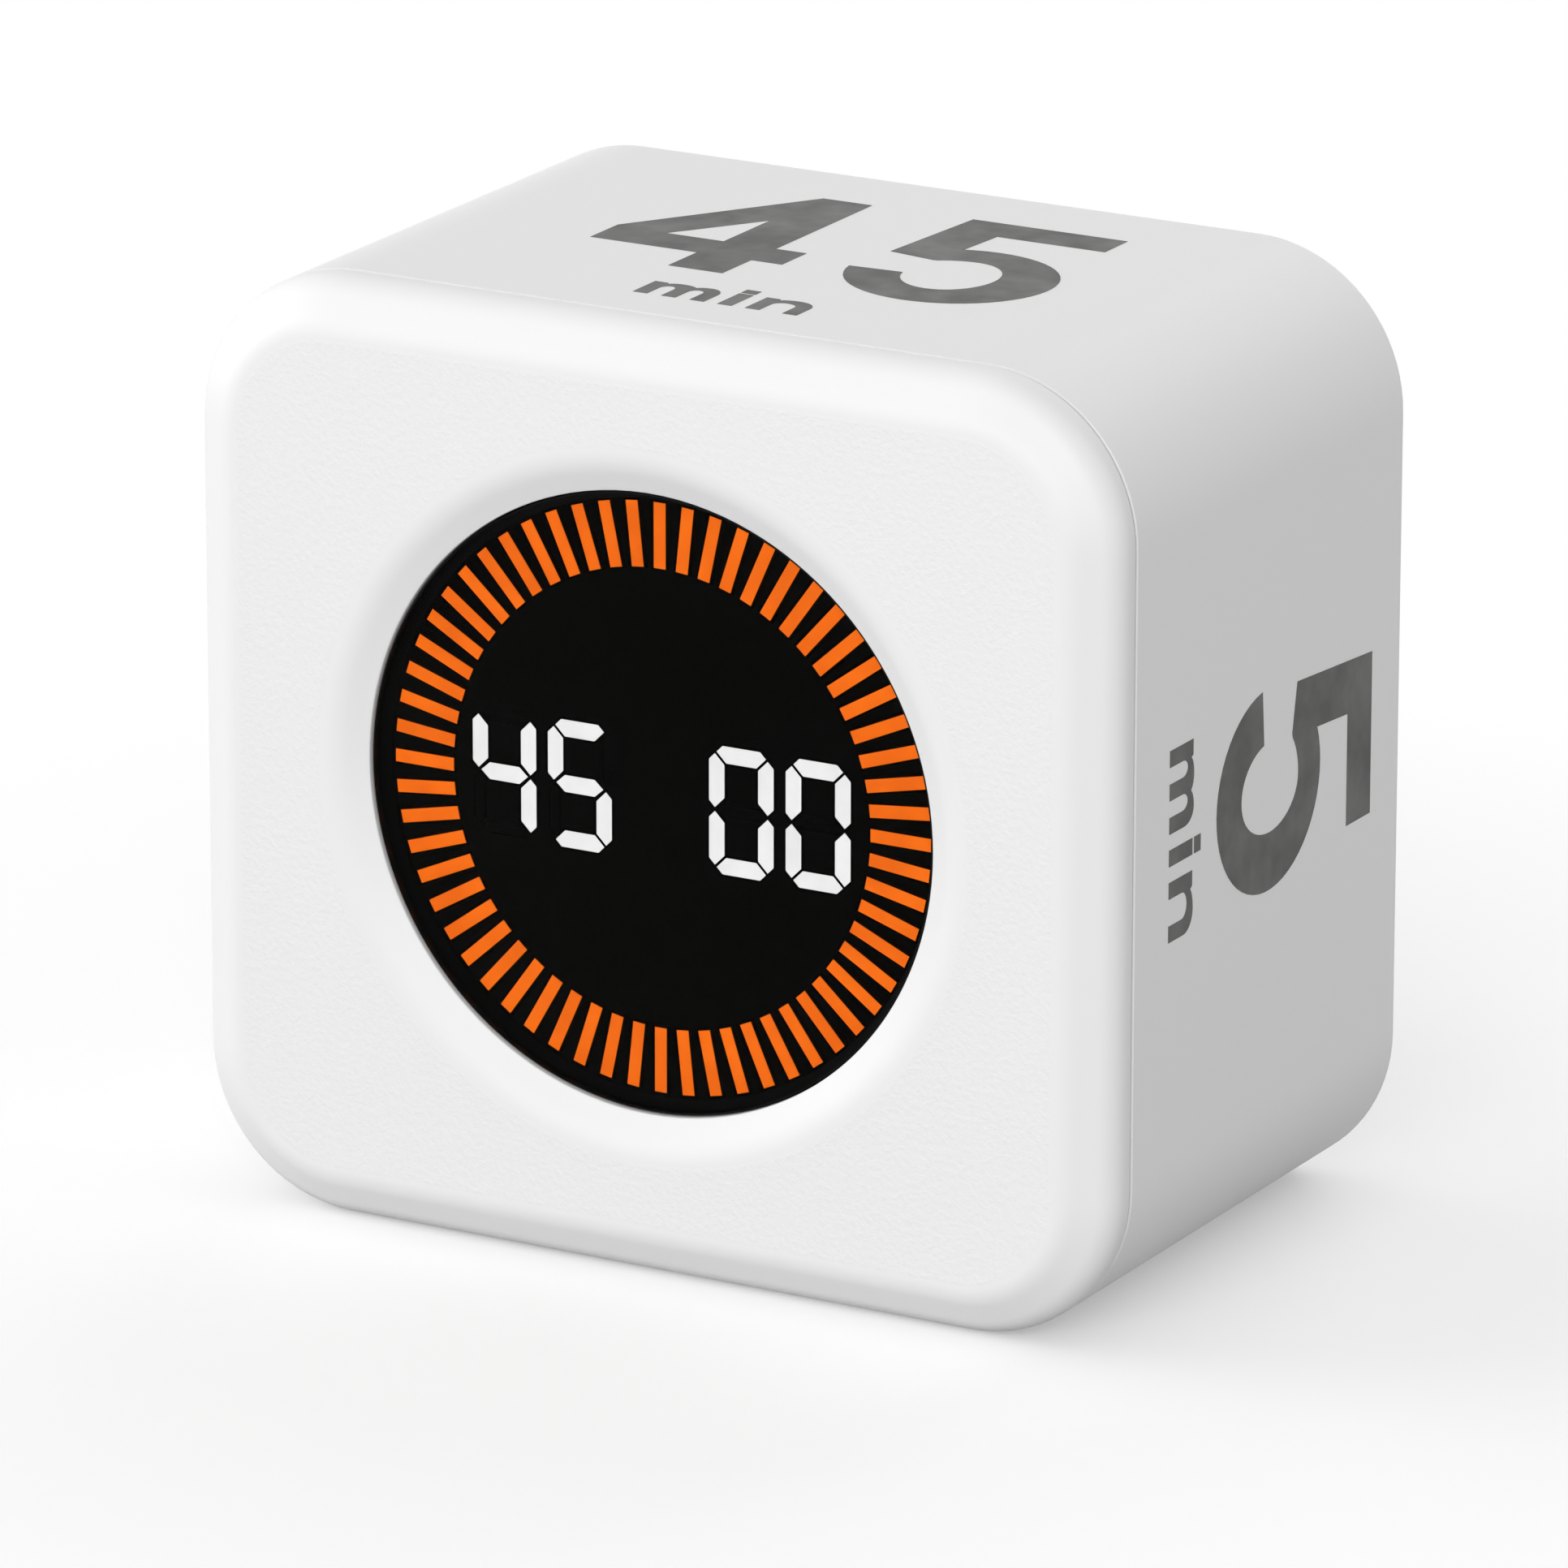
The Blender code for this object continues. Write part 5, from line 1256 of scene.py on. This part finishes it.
    def digits(self) -> None:
        """Builds the four digits."""
        pairs = (-self.pair_offset, self.pair_offset)
        middles = [pair + side * self.digit_pitch / 2 for pair in pairs for side in (-1, 1)]
        for number, (middle, reading) in enumerate(zip(middles, self.reading), 1):
            self.digit(number, middle, reading)


# Prints


class Side(Enum):
    """A printed side of the housing."""

    TOP = "top"
    RIGHT = "right"
    LEFT = "left"
    BASE = "base"


@dataclass(frozen=True)
class Lettering:
    """Bold upright numerals and the word min, drawn as outlines in units of their own."""

    numeral_height: float = 19.1
    word_width: float = 11.23
    word_height: float = 2.9
    stroke: float = 0.98

    def arc(
        self, centre: tuple[float, float], radii: tuple[float, float], start: float, end: float, steps: int
    ) -> Array:
        """Part of an ellipse: centre plus (a cos t, b sin t), t from start to end in degrees."""
        turn = np.radians(np.linspace(start, end, steps + 1))
        return np.stack([centre[0] + radii[0] * np.cos(turn), centre[1] + radii[1] * np.sin(turn)], -1)

    def four(self) -> list[Array]:
        """A four with a flat top.

        Returns:
            Its outline and its three-sided hole.
        """
        outer = [(7.0, 0), (10.5, 0), (10.5, 3.6), (12.5, 3.6), (12.5, 6.7), (10.5, 6.7), (10.5, 19.0)]
        outer += [(7.3, 19.0), (0.0, 7.0), (0.0, 3.6), (7.0, 3.6)]
        return [np.array(outer), np.array([(7.1, 6.7), (7.1, 12.6), (3.3, 6.7)])]

    def five(self) -> list[Array]:
        """A five: a top bar, a slanted stem, and a bowl between two sets of quarter ellipses.

        Returns:
            Its outline.
        """
        bar = np.array([(3.82, 12.0), (4.1, 16.1), (10.8, 16.1), (10.8, 19.1), (1.15, 19.1), (0.5, 9.75)])
        heel = np.array([(0.5, 9.75), (3.4, 9.2)])
        inner_top = self.arc((5.9, 6.5), (3.6, 3.5), 128, 90, 6)
        inner_right = self.arc((5.9, 6.5), (2.62, 3.5), 90, -90, 22)[1:]
        inner_left = self.arc((5.9, 6.5), (2.75, 3.5), -90, -167, 10)[1:]
        outer_left = self.arc((5.95, 6.35), (6.0, 6.35), 188, 270, 12)
        outer_right = self.arc((5.95, 6.35), (6.0, 6.35), 270, 471, 30)[1:]
        line = [bar[:-1], heel, inner_top, inner_right, inner_left, outer_left, outer_right]
        return [np.concatenate(line)]

    def one(self) -> list[Array]:
        """A one with a flag."""
        flag = [(5.2, 19.0), (4.4, 17.4), (1.4, 15.9), (1.4, 12.9), (4.2, 13.8)]
        return [np.array([(4.2, 0), (7.8, 0), (7.8, 19.0), *flag])]

    def two(self) -> list[Array]:
        """A two: a hook of half ellipses, a slanted neck and a foot.

        Returns:
            Its outline.
        """
        hook = self.arc((6.0, 13.3), (5.8, 5.7), -8, 180, 28)
        inner = self.arc((6.0, 13.2), (2.3, 2.75), 180, -10, 20)
        neck_out = np.array([(10.6, 9.6), (8.8, 7.3), (5.6, 4.6), (4.9, 3.3)])
        foot = np.array([(4.9, 3.3), (11.8, 3.3), (11.8, 0), (0.2, 0)])
        neck_in = np.array([(7.6, 11.2), (6.2, 9.4), (3.6, 7.2), (1.1, 4.9), (0.2, 2.6)])
        return [np.concatenate([neck_in[::-1], inner[::-1], hook[::-1], neck_out, foot[1:]])]

    def arched(self, pitch: float, arches: int) -> Array:
        """A letter of stems joined by arches, such as n or m.

        An arch is two parts of ellipses outside and half an ellipse inside.

        Args:
            pitch: The distance between stems.
            arches: How many arches.

        Returns:
            The outline.
        """
        stem, height = self.stroke, self.word_height
        line = [np.array([(0, 0), (0, height - 0.05), (stem * 0.92, height - 0.05)])]
        for k in range(arches):
            start, end = k * pitch + stem, (k + 1) * pitch + stem
            drop = 1.15 if k == arches - 1 else 0.42
            crown = (start + end) / 2
            rise = self.arc((crown, height - 0.45), (crown - start, 0.5), 160, 90, 6)
            fall = self.arc((crown, height - drop + 0.05), (end - crown, drop), 88, 0 if drop > 1 else 20, 8)
            line += [rise, fall]
        width = arches * pitch + stem
        line.append(np.array([(width, 0), (width - stem, 0)]))
        for k in reversed(range(arches)):
            left, right = k * pitch + stem, (k + 1) * pitch
            middle, half = (left + right) / 2, (right - left) / 2
            line.append(self.arc((middle, height - 1.3), (half, 0.62), 0, 180, 10))
            line.append(np.array([(left, 0), (left - stem, 0)]) if k else np.array([(left, 0)]))
        return np.concatenate(line)

    def word(self) -> list[list[Array]]:
        """The word min.

        Returns:
            A set of loops for each mark.
        """
        stem = np.array([(5.8, 0), (6.78, 0), (6.78, 2.85), (5.8, 2.85)])
        dot = np.array([(5.8, 3.05), (6.78, 3.05), (6.78, 3.85), (5.8, 3.85)])
        m = self.arched(1.95, 2)
        n = self.arched(2.55, 1) + np.array([7.7, 0])
        return [[m], [stem], [dot], [n]]

    def numeral(self, figure: str) -> list[Array]:
        """The loops of a numeral."""
        shapes = {"1": self.one, "2": self.two, "4": self.four, "5": self.five}
        return shapes[figure]()


@dataclass
class Print:
    """The number and word printed on one side."""

    side: Side
    figures: str
    centre: float
    baseline: float
    height: float
    widths: tuple[float, ...]
    spacing: float
    word_centre: float
    word_baseline: float
    word_width: float
    word_height: float
    surface: float
    proud: float = 0.02
    sunk: float = 0.02

    def loops(self) -> list[list[Array]]:
        """All marks, each scaled to its width and height and moved to its place on the side.

        Returns:
            The loops of each mark, in reading direction and height.
        """
        letters = Lettering()
        marks = []
        total = sum(self.widths) + self.spacing * (len(self.widths) - 1)
        start = self.centre - total / 2
        for figure, width in zip(self.figures, self.widths):
            shape = letters.numeral(figure)
            low = min(loop[:, 0].min() for loop in shape)
            high = max(loop[:, 0].max() for loop in shape)
            scale = np.array([width / (high - low), self.height / letters.numeral_height])
            marks.append([(loop - np.array([low, 0])) * scale + (start, self.baseline) for loop in shape])
            start += width + self.spacing
        scale = np.array([self.word_width / letters.word_width, self.word_height / letters.word_height])
        corner = (self.word_centre - self.word_width / 2, self.word_baseline)
        marks += [[loop * scale + corner for loop in shape] for shape in letters.word()]
        return marks

    def build(self) -> bpy.types.Object:
        """Builds the print as thin closed plates of ink on the side.

        The plates are drawn facing the front, with reading across and height up. Each side then takes
        (reading, height) to its own directions.

        Returns:
            The piece.
        """
        form = Form()
        for loops in self.loops():
            form.slab(loops, -self.proud, self.sunk)
        reading, height, outwards = self.axes()
        turn = np.stack([reading, -outwards, height], -1)
        form.points = [points @ turn.T + outwards * self.surface for points in form.points]
        return form.piece(f"print_{self.side.value}", [INK], "case", sharp=30)

    def axes(self) -> tuple[Array, Array, Array]:
        """The side's directions.

        Returns:
            Its reading, height and outward directions, as (across, depth, up).
        """
        choices = {
            Side.TOP: ((1, 0, 0), (0, 1, 0), (0, 0, 1)),
            Side.RIGHT: ((0, 0, -1), (0, 1, 0), (1, 0, 0)),
            Side.LEFT: ((0, 0, 1), (0, 1, 0), (-1, 0, 0)),
            Side.BASE: ((-1, 0, 0), (0, 1, 0), (0, 0, -1)),
        }
        return tuple(np.array(direction, float) for direction in choices[self.side])


PRINTS = [
    Print(Side.TOP, "45", 1.72, 12.85, 17.5, (12.55, 12.4), 3.4, 0.95, 6.95, 10.55, 2.6, 28.0),
    Print(Side.RIGHT, "5", -0.55, 13.1, 19.1, (11.95,), 3.4, -0.45, 7.4, 11.2, 2.85, 29.75),
    Print(Side.LEFT, "15", 0, 13.0, 18.2, (6.4, 12.2), 3.6, 0, 7.2, 11.0, 2.7, 29.75),
    Print(Side.BASE, "25", 0, 13.0, 17.8, (12.2, 12.2), 3.2, 0, 7.2, 11.0, 2.7, 28.0),
]


# Rear controls


@dataclass
class Controls:
    """What the rear shows: two buttons, the slider, the charging port and the case screws.

    A break is the radius of a small rounded edge, and a fade is the width of a smooth step.
    """

    small_break: float = 0.1
    button_core: float = 1.0
    button_radius: float = 3.8
    button_break: float = 0.4
    thumb_rim: float = 0.7
    thumb_depth: float = 0.22
    flange_radius: float = 4.7
    flange_front: float = 32.1
    flange_back: float = 33.0
    flange_break: float = 0.15
    button_back: float = 35.7
    knob_half: tuple[float, float] = (2.6, 1.5)
    plate_half: tuple[float, float] = (6.7, 2.25)
    plate_run: float = 0.3
    knob_corner: float = 0.6
    knob_front: float = 32.6
    knob_back: float = 35.8
    knob_break: float = 0.25
    knob_run: float = 0.4
    groove_pitch: float = 1.1
    groove_half: float = 0.24
    groove_depth: float = 0.3
    groove_fade: float = 0.14
    groove_reach: float = 0.26
    port_size: tuple[float, ...] = (4.45, 1.6, 1.55)
    port_wall: float = 0.3
    port_rim: float = 0.12
    port_inset: float = 1.2
    port_floor_inset: float = 1.15
    port_floor: float = 28.6
    contacts: int = 12
    contact_pitch: float = 0.5
    contact_size: tuple[float, ...] = (0.13, 1.7, 0.05)
    contact_middle: float = 32.6
    contact_heights: tuple[float, float] = (0.33, 0.38)
    usb_back: float = 34.9
    screw_head: float = 1.75
    screw_seat: float = 34.3
    screw_top: float = 35.4
    screw_dome: float = 0.36
    screw_edge: tuple[float, float] = (0.38, 0.345)
    screw_crown: float = 0.985
    crown_break: float = 0.06
    screw_steps: int = 96
    screw_recess: float = 0.6
    cross_arm: float = 0.60
    cross_half: float = 0.16
    cross_fade: float = 0.1
    shank: float = 0.9
    shank_tip: float = 5.0
    shank_point: float = 0.3
    shank_taper: float = 1.2

    def button(self, name: str, side: int) -> bpy.types.Object:
        """Builds a button: its profile turned round its axis, with a shallow thumb dish in its face.

        The dish falls by its depth times 1 less the square of the share of its radius.

        Args:
            name: left or right.
            side: -1 or 1.

        Returns:
            The piece.
        """
        form = Form()
        dish_radius = self.button_radius - self.thumb_rim
        share = np.linspace(1, 0.12, 10)
        dish = np.stack([dish_radius * share, self.button_back - self.thumb_depth * (1 - share**2)], -1)
        profile = soften(
            [
                (self.button_core, self.flange_front, 0),
                (self.flange_radius, self.flange_front, self.flange_break),
                (self.flange_radius, self.flange_back, self.flange_break),
                (self.button_radius, self.flange_back, self.small_break),
                (self.button_radius, self.button_back, self.button_break),
                (dish_radius, self.button_back, 0),
            ],
            steps=6,
        )
        form.lathe(np.concatenate([profile, dish[1:]]), (side * BUTTON_ACROSS, BUTTON_UP), steps=72)
        made = form.piece(f"key_{name}", [SATIN], f"button_{name}", sharp=50)
        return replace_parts(made, f"button_{name}")

    def knob(self) -> bpy.types.Object:
        """Builds the slider's knob.

        Rows run from the flange up the grip and in over its face. On the face the depth falls into three
        grooves: by groove depth times a smooth step of the distance to the nearest groove's middle.

        Returns:
            The piece.
        """
        form = Form()
        flange = Outline(*self.plate_half, self.knob_corner, corner_steps=6, side_steps=10, up=SLIDE_UP)
        run, turn = self.plate_run, self.small_break
        front, back = self.flange_front, self.flange_back
        form.sweep(flange, soften([(run, front, 0), (0, front, turn), (0, back, turn), (run, back, 0)], 3))
        grip = Outline(*self.knob_half, self.knob_corner, corner_steps=8, side_steps=44, up=SLIDE_UP)
        face = [(0, self.knob_back, self.knob_break), (self.knob_run, self.knob_back, 0)]
        edge = soften([(0, self.knob_front, 0), *face], 5)
        rows = grip.at(edge[:, 0])
        share = np.linspace(1, 0.04, 14)[1:, None, None]
        spine = rows[-1].copy()
        spine[:, 1] = SLIDE_UP
        inner = spine[None] + (rows[-1] - spine)[None] * share
        flat = np.concatenate([rows, inner])
        depth = np.concatenate([edge[:, 1], np.full(len(inner), self.knob_back)])
        depth = np.repeat(depth[:, None], flat.shape[1], axis=1)
        from_grooves = np.abs(flat[..., 0])[..., None] - np.array([0, self.groove_pitch])
        away = np.abs(from_grooves).min(axis=-1)
        step = np.clip((self.groove_half - away) / self.groove_fade + 0.5, 0, 1)
        on_face = depth > self.knob_back - self.groove_reach
        depth = depth - self.groove_depth * step * step * (3 - 2 * step) * on_face
        points = np.stack([flat[..., 0], depth, flat[..., 1]], -1)
        form.grid(points, caps=False)
        form.add(points[0], [fan(len(points[0]))])
        form.add(points[-1], [self.strip(points[-1])])
        made = form.piece("slider_skin", [SATIN], "slider", sharp=50)
        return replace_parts(made, "slider_knob")

    def strip(self, loop: Array) -> Array:
        """Four-sided faces that join the two long sides of a flat narrow loop, point by point.

        Both sides are counted from the point furthest across.

        Args:
            loop: The loop's (across, depth, up) points.

        Returns:
            Point numbers, four a face.
        """
        count = len(loop)
        start = int(np.argmax(loop[:, 0]))
        here = np.arange(count // 2 - 1)
        left, right = (start + here) % count, (start - here) % count
        ahead, behind = (start + here + 1) % count, (start - here - 1) % count
        return np.stack([left, ahead, behind, right], -1)

    def port(self) -> None:
        """Builds the charging port: a steel shell with a rolled mouth, and gold contacts on its tongue."""
        form = Form()
        outline = Outline(*self.port_size, corner_steps=12, side_steps=10, up=USB_UP)
        bend = 2 * self.small_break
        profile = soften(
            [
                (self.port_wall, self.port_floor, bend),
                (self.port_wall, self.usb_back, self.port_rim),
                (0, self.usb_back, self.port_rim),
                (0, REAR_PARTS_FRONT, bend),
                (self.port_inset, REAR_PARTS_FRONT, 0),
                (self.port_inset, self.port_floor, 0),
            ],
            steps=4,
            closed=True,
        )
        form.sweep(outline, profile, loop=True)
        floor = outline.at(np.array([self.port_floor_inset]))[0]
        form.slab([floor], REAR_PARTS_FRONT, self.port_floor)
        made = form.piece("port_shell", [STEEL], "case")
        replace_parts(made, "usb_shell")
        form = Form()
        for level in (-1, 1):
            heights = USB_UP + level * np.array(self.contact_heights)
            for i in range(self.contacts):
                across = (i - (self.contacts - 1) / 2) * self.contact_pitch
                pad = Outline(*self.contact_size, 2, 1, across, self.contact_middle).at(np.zeros(2))
                form.grid(raised(pad, heights)[..., [0, 2, 1]])
        form.piece("port_contacts", [GOLD], "case")

    def screw(self, number: int, across: float, up: float) -> bpy.types.Object:
        """Builds a case screw: a domed head with a cross recess on a plain shank.

        The head is a polar grid. Its depth is the dome's, less the recess depth times a smooth step of how
        far a point lies inside the cross.

        Args:
            number: The screw's number.
            across: Its axis across.
            up: Its axis up.

        Returns:
            The piece.
        """
        head, seat, top = self.screw_head, self.screw_seat, self.screw_top
        turn = np.arange(self.screw_steps) * 2 * math.pi / self.screw_steps
        share = np.linspace(self.screw_crown, 0.03, 26)[:, None]
        radius = head * share
        dome = top - self.screw_dome * share**3
        x, y = radius * np.cos(turn), radius * np.sin(turn)
        arm, width = head * self.cross_arm, head * self.cross_half
        in_first = np.minimum(arm - np.abs(x), width - np.abs(y))
        in_second = np.minimum(arm - np.abs(y), width - np.abs(x))
        step = np.clip(np.maximum(in_first, in_second) / self.cross_fade + 0.5, 0, 1)
        depth = dome - self.screw_recess * step * step * (3 - 2 * step)
        sides = soften(
            [
                (self.shank_point, self.shank_tip, 0),
                (self.shank, self.shank_tip + self.shank_taper, 2 * self.small_break),
                (self.shank, seat, self.small_break),
                (head, seat, self.small_break),
                (head, top - self.screw_edge[0], self.crown_break),
                (head * self.screw_crown, top - self.screw_edge[1], 0),
            ],
            steps=3,
        )
        rim = np.stack([sides[:-1, 0:1] * np.cos(turn), sides[:-1, 0:1] * np.sin(turn)], -1)
        face = np.stack([x, depth, y], -1)
        form = Form()
        form.grid(np.concatenate([raised(rim, sides[:-1, 1]), face]) + (across, 0, up))
        made = form.piece(f"screw_skin_{number}", [STEEL], "case", sharp=45)
        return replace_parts(made, f"case_screw_{number}")

    def build(self) -> None:
        """Builds every rear control."""
        for name, side in (("left", -1), ("right", 1)):
            self.button(name, side)
        self.knob()
        self.port()
        for number in range(1, len(CORNERS) + 1):
            low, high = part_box(f"case_screw_{number}")
            middle = (low + high) / 2
            up = middle.z - (CAD_LOW.z + CAD_HIGH.z) / 2
            self.screw(number, middle.x / METRE, up / METRE)


# Inner pieces


@dataclass(frozen=True)
class Interior:
    """The finishes of the CAD nodes that keep their shape."""

    finishes: tuple[tuple[str, Finish], ...] = (
        ("lens_tape", TAPE),
        ("display_frame", BLACK_WITH_PAINTED_SHEEN),
        ("board", BOARD),
        ("battery_socket", NYLON),
        ("battery_plug", NYLON),
        ("battery_cradle", RESIN),
        ("battery_pad", FOAM),
        ("battery_lead_red", RED),
        ("battery_lead_black", DARK),
        ("battery", FOIL),
        ("processor_chip", RESIN),
        ("charger_chip", RESIN),
        ("tilt_sensor", RESIN),
        ("crystal", STEEL),
        ("ribbon_socket", NYLON),
        ("ribbon_cable", AMBER),
        ("usb_tongue", RESIN),
        ("speaker_cone", CONE),
        ("speaker_gasket", FOAM),
        ("speaker_lead_red", RED),
        ("speaker_lead_black", DARK),
        ("speaker_body", BASKET),
        ("tact", RESIN),
        ("slide_case", STEEL),
        ("slide_lever", RESIN),
    )

    def finish_of(self, node: str) -> Finish | None:
        """The finish of a node: steel for a screw, or the first whose name the node's name holds."""
        named = (finish for name, finish in self.finishes if name in node)
        return STEEL if "screw" in node else next(named, None)

    def dress(self) -> None:
        """Gives every CAD node that is shown its finish."""
        for name, node in sorted(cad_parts.items()):
            finish = self.finish_of(name)
            if finish is None or node.hide_render:
                continue
            for slot in node.material_slots:
                slot.material = finish.material()
            logger.info("%s: %s", name, finish.name)


# Studio


@dataclass(frozen=True)
class Lamp:
    """A square soft light that faces the timer's middle.

    Its azimuth runs from the front towards the viewer's right and its elevation up from the horizon, both in
    degrees. Its power is in watts; its distance and side are in metres.
    """

    name: str
    azimuth: float
    elevation: float
    power: float
    distance: float = 1.2
    side: float = 0.8

    def hang(self) -> None:
        """Adds the light to the scene."""
        turn, rise = math.radians(self.azimuth), math.radians(self.elevation)
        away = Vector((math.sin(turn) * math.cos(rise), -math.cos(turn) * math.cos(rise), math.sin(rise)))
        light = bpy.data.lights.new(self.name, "AREA")
        light.energy, light.size = self.power, self.side
        made = bpy.data.objects.new(self.name, light)
        made.location = (CAD_LOW + CAD_HIGH) / 2 + away * self.distance
        made.rotation_euler = away.to_track_quat("Z", "Y").to_euler()
        bpy.context.scene.collection.objects.link(made)


@dataclass
class Studio:
    """The pale floor, just under the timer's base, the soft lights and the camera."""

    azimuth: float = 29.457
    elevation: float = 17.336
    roll: float = 0.041
    distance: float = 696.94
    shift_across: float = -1.670
    shift_up: float = -3.674
    target: tuple[float, float, float] = (0.0, 2.0, 28.0)
    focal: float = 278.02
    sensor: float = 36.0
    clip: tuple[float, float] = (0.05, 20.0)
    floor_half: float = 3000.0
    floor_gap: float = 0.05
    ambient: float = 0.375
    floor_lift: float = 0.27
    pale: float = 0.85
    bounce: float = 0.3
    fade: tuple[float, float] = (0.045, 0.105)
    lamps: tuple[Lamp, ...] = (
        Lamp("front", 15, 15, 7.75),
        Lamp("front_left", -35, 15, 1.2),
        Lamp("front_right", 45, 15, 1.2),
        Lamp("side_left", -75, 15, 6.1),
        Lamp("rim_left", -105, 15, 1.8),
        Lamp("side_right", 105, 15, 1.2),
        Lamp("rear_left", -135, 40, 0.35),
        Lamp("rear", 180, 30, 2.7),
    )

    def floor(self) -> None:
        """Lays the floor, a wide sheet whose shade fades to white for the camera and for glass and gloss.

        Round the timer it keeps its shadow. The share of plain white grows with the distance from the middle.
        """
        recipe = Recipe("studio_floor")
        recipe.shader.inputs["Roughness"].default_value = 0.9
        recipe.shader.inputs["Specular IOR Level"].default_value = 0.1
        seen = recipe.seen()
        shades = [(shade, shade, shade) for shade in (self.bounce, self.pale)]
        recipe.link(recipe.mix(seen, *shades), recipe.shader.inputs["Base Color"])
        recipe.shader.inputs["Emission Color"].default_value = (1, 1, 1, 1)
        recipe.link(recipe.spread(seen, 0, self.floor_lift, 0, 1), recipe.shader.inputs["Emission Strength"])
        places = recipe.node("ShaderNodeTexCoord")
        reach = recipe.node("ShaderNodeVectorMath", operation="LENGTH")
        recipe.link(places.outputs["Object"], reach.inputs[0])
        far = recipe.multiply(recipe.spread(reach.outputs["Value"], 0, 1, *self.fade), seen)
        white = recipe.node("ShaderNodeEmission", Strength=1.0)
        blend = recipe.blend(far, recipe.shader.outputs[0], white.outputs[0])
        recipe.link(blend, recipe.tree.nodes["Material Output"].inputs["Surface"])
        half = self.floor_half * METRE
        mesh = bpy.data.meshes.new("studio_floor")
        corners = [(-half, -half, 0), (half, -half, 0), (half, half, 0), (-half, half, 0)]
        mesh.from_pydata(corners, [], [(0, 1, 2, 3)])
        mesh.materials.append(recipe.made)
        floor = bpy.data.objects.new("studio_floor", mesh)
        floor.location.z = CAD_LOW.z - self.floor_gap * METRE
        bpy.context.scene.collection.objects.link(floor)

    def world(self) -> None:
        """Sets an even dim light all round, and white where the camera sees past the floor."""
        world = bpy.data.worlds.new("studio")
        bpy.context.scene.world = world
        world.use_nodes = True
        nodes = Nodes(world.node_tree)
        nodes.tree.nodes.clear()
        dim = nodes.node("ShaderNodeBackground", Strength=self.ambient, Color=(1, 1, 1, 1))
        white = nodes.node("ShaderNodeBackground", Strength=1.0, Color=(1, 1, 1, 1))
        blend = nodes.blend(nodes.seen(), dim.outputs[0], white.outputs[0])
        nodes.link(blend, nodes.node("ShaderNodeOutputWorld").inputs["Surface"])

    def camera(self) -> None:
        """Sets the camera at the photograph's viewing angle.

        The camera stands at its target plus distance times the direction back to it, moved by the two shifts
        along its own right and up, and is rolled by a small angle.
        """
        a, e, r = (math.radians(angle) for angle in (self.azimuth, self.elevation, self.roll))
        back = Vector((math.sin(a) * math.cos(e), -math.cos(a) * math.cos(e), math.sin(e)))
        right = Vector((math.cos(a), math.sin(a), 0))
        up = back.cross(right)
        place = back * self.distance + right * self.shift_across + up * self.shift_up + Vector(self.target)
        rolled_right = right * math.cos(r) + up * math.sin(r)
        rolled_up = up * math.cos(r) - right * math.sin(r)
        data = bpy.data.cameras.new("photo_camera")
        data.lens, data.sensor_width, data.sensor_height = self.focal, self.sensor, self.sensor
        data.sensor_fit = "HORIZONTAL"
        data.clip_start, data.clip_end = self.clip
        camera = bpy.data.objects.new("photo_camera", data)
        turn = Matrix((rolled_right, rolled_up, back)).transposed().to_4x4()
        camera.matrix_world = Matrix.Translation(place * METRE) @ turn
        bpy.context.scene.collection.objects.link(camera)
        bpy.context.scene.camera = camera

    def build(self) -> None:
        """Builds the studio."""
        bpy.context.scene.view_settings.view_transform = "Standard"
        self.floor()
        self.world()
        for lamp in self.lamps:
            lamp.hang()
        self.camera()


def main() -> None:
    """Builds the timer's visible pieces, dresses the rest, and sets up the studio."""
    logging.basicConfig(level=logging.INFO, format="%(name)s %(message)s")
    Studio().build()
    shells = Shells()
    shells.bezel()
    shells.housing()
    shells.cover()
    display = Display()
    display.lens()
    display.ring()
    display.digits()
    for item in PRINTS:
        item.build()
    Controls().build()
    Interior().dress()


if __name__ == "__main__":
    main()
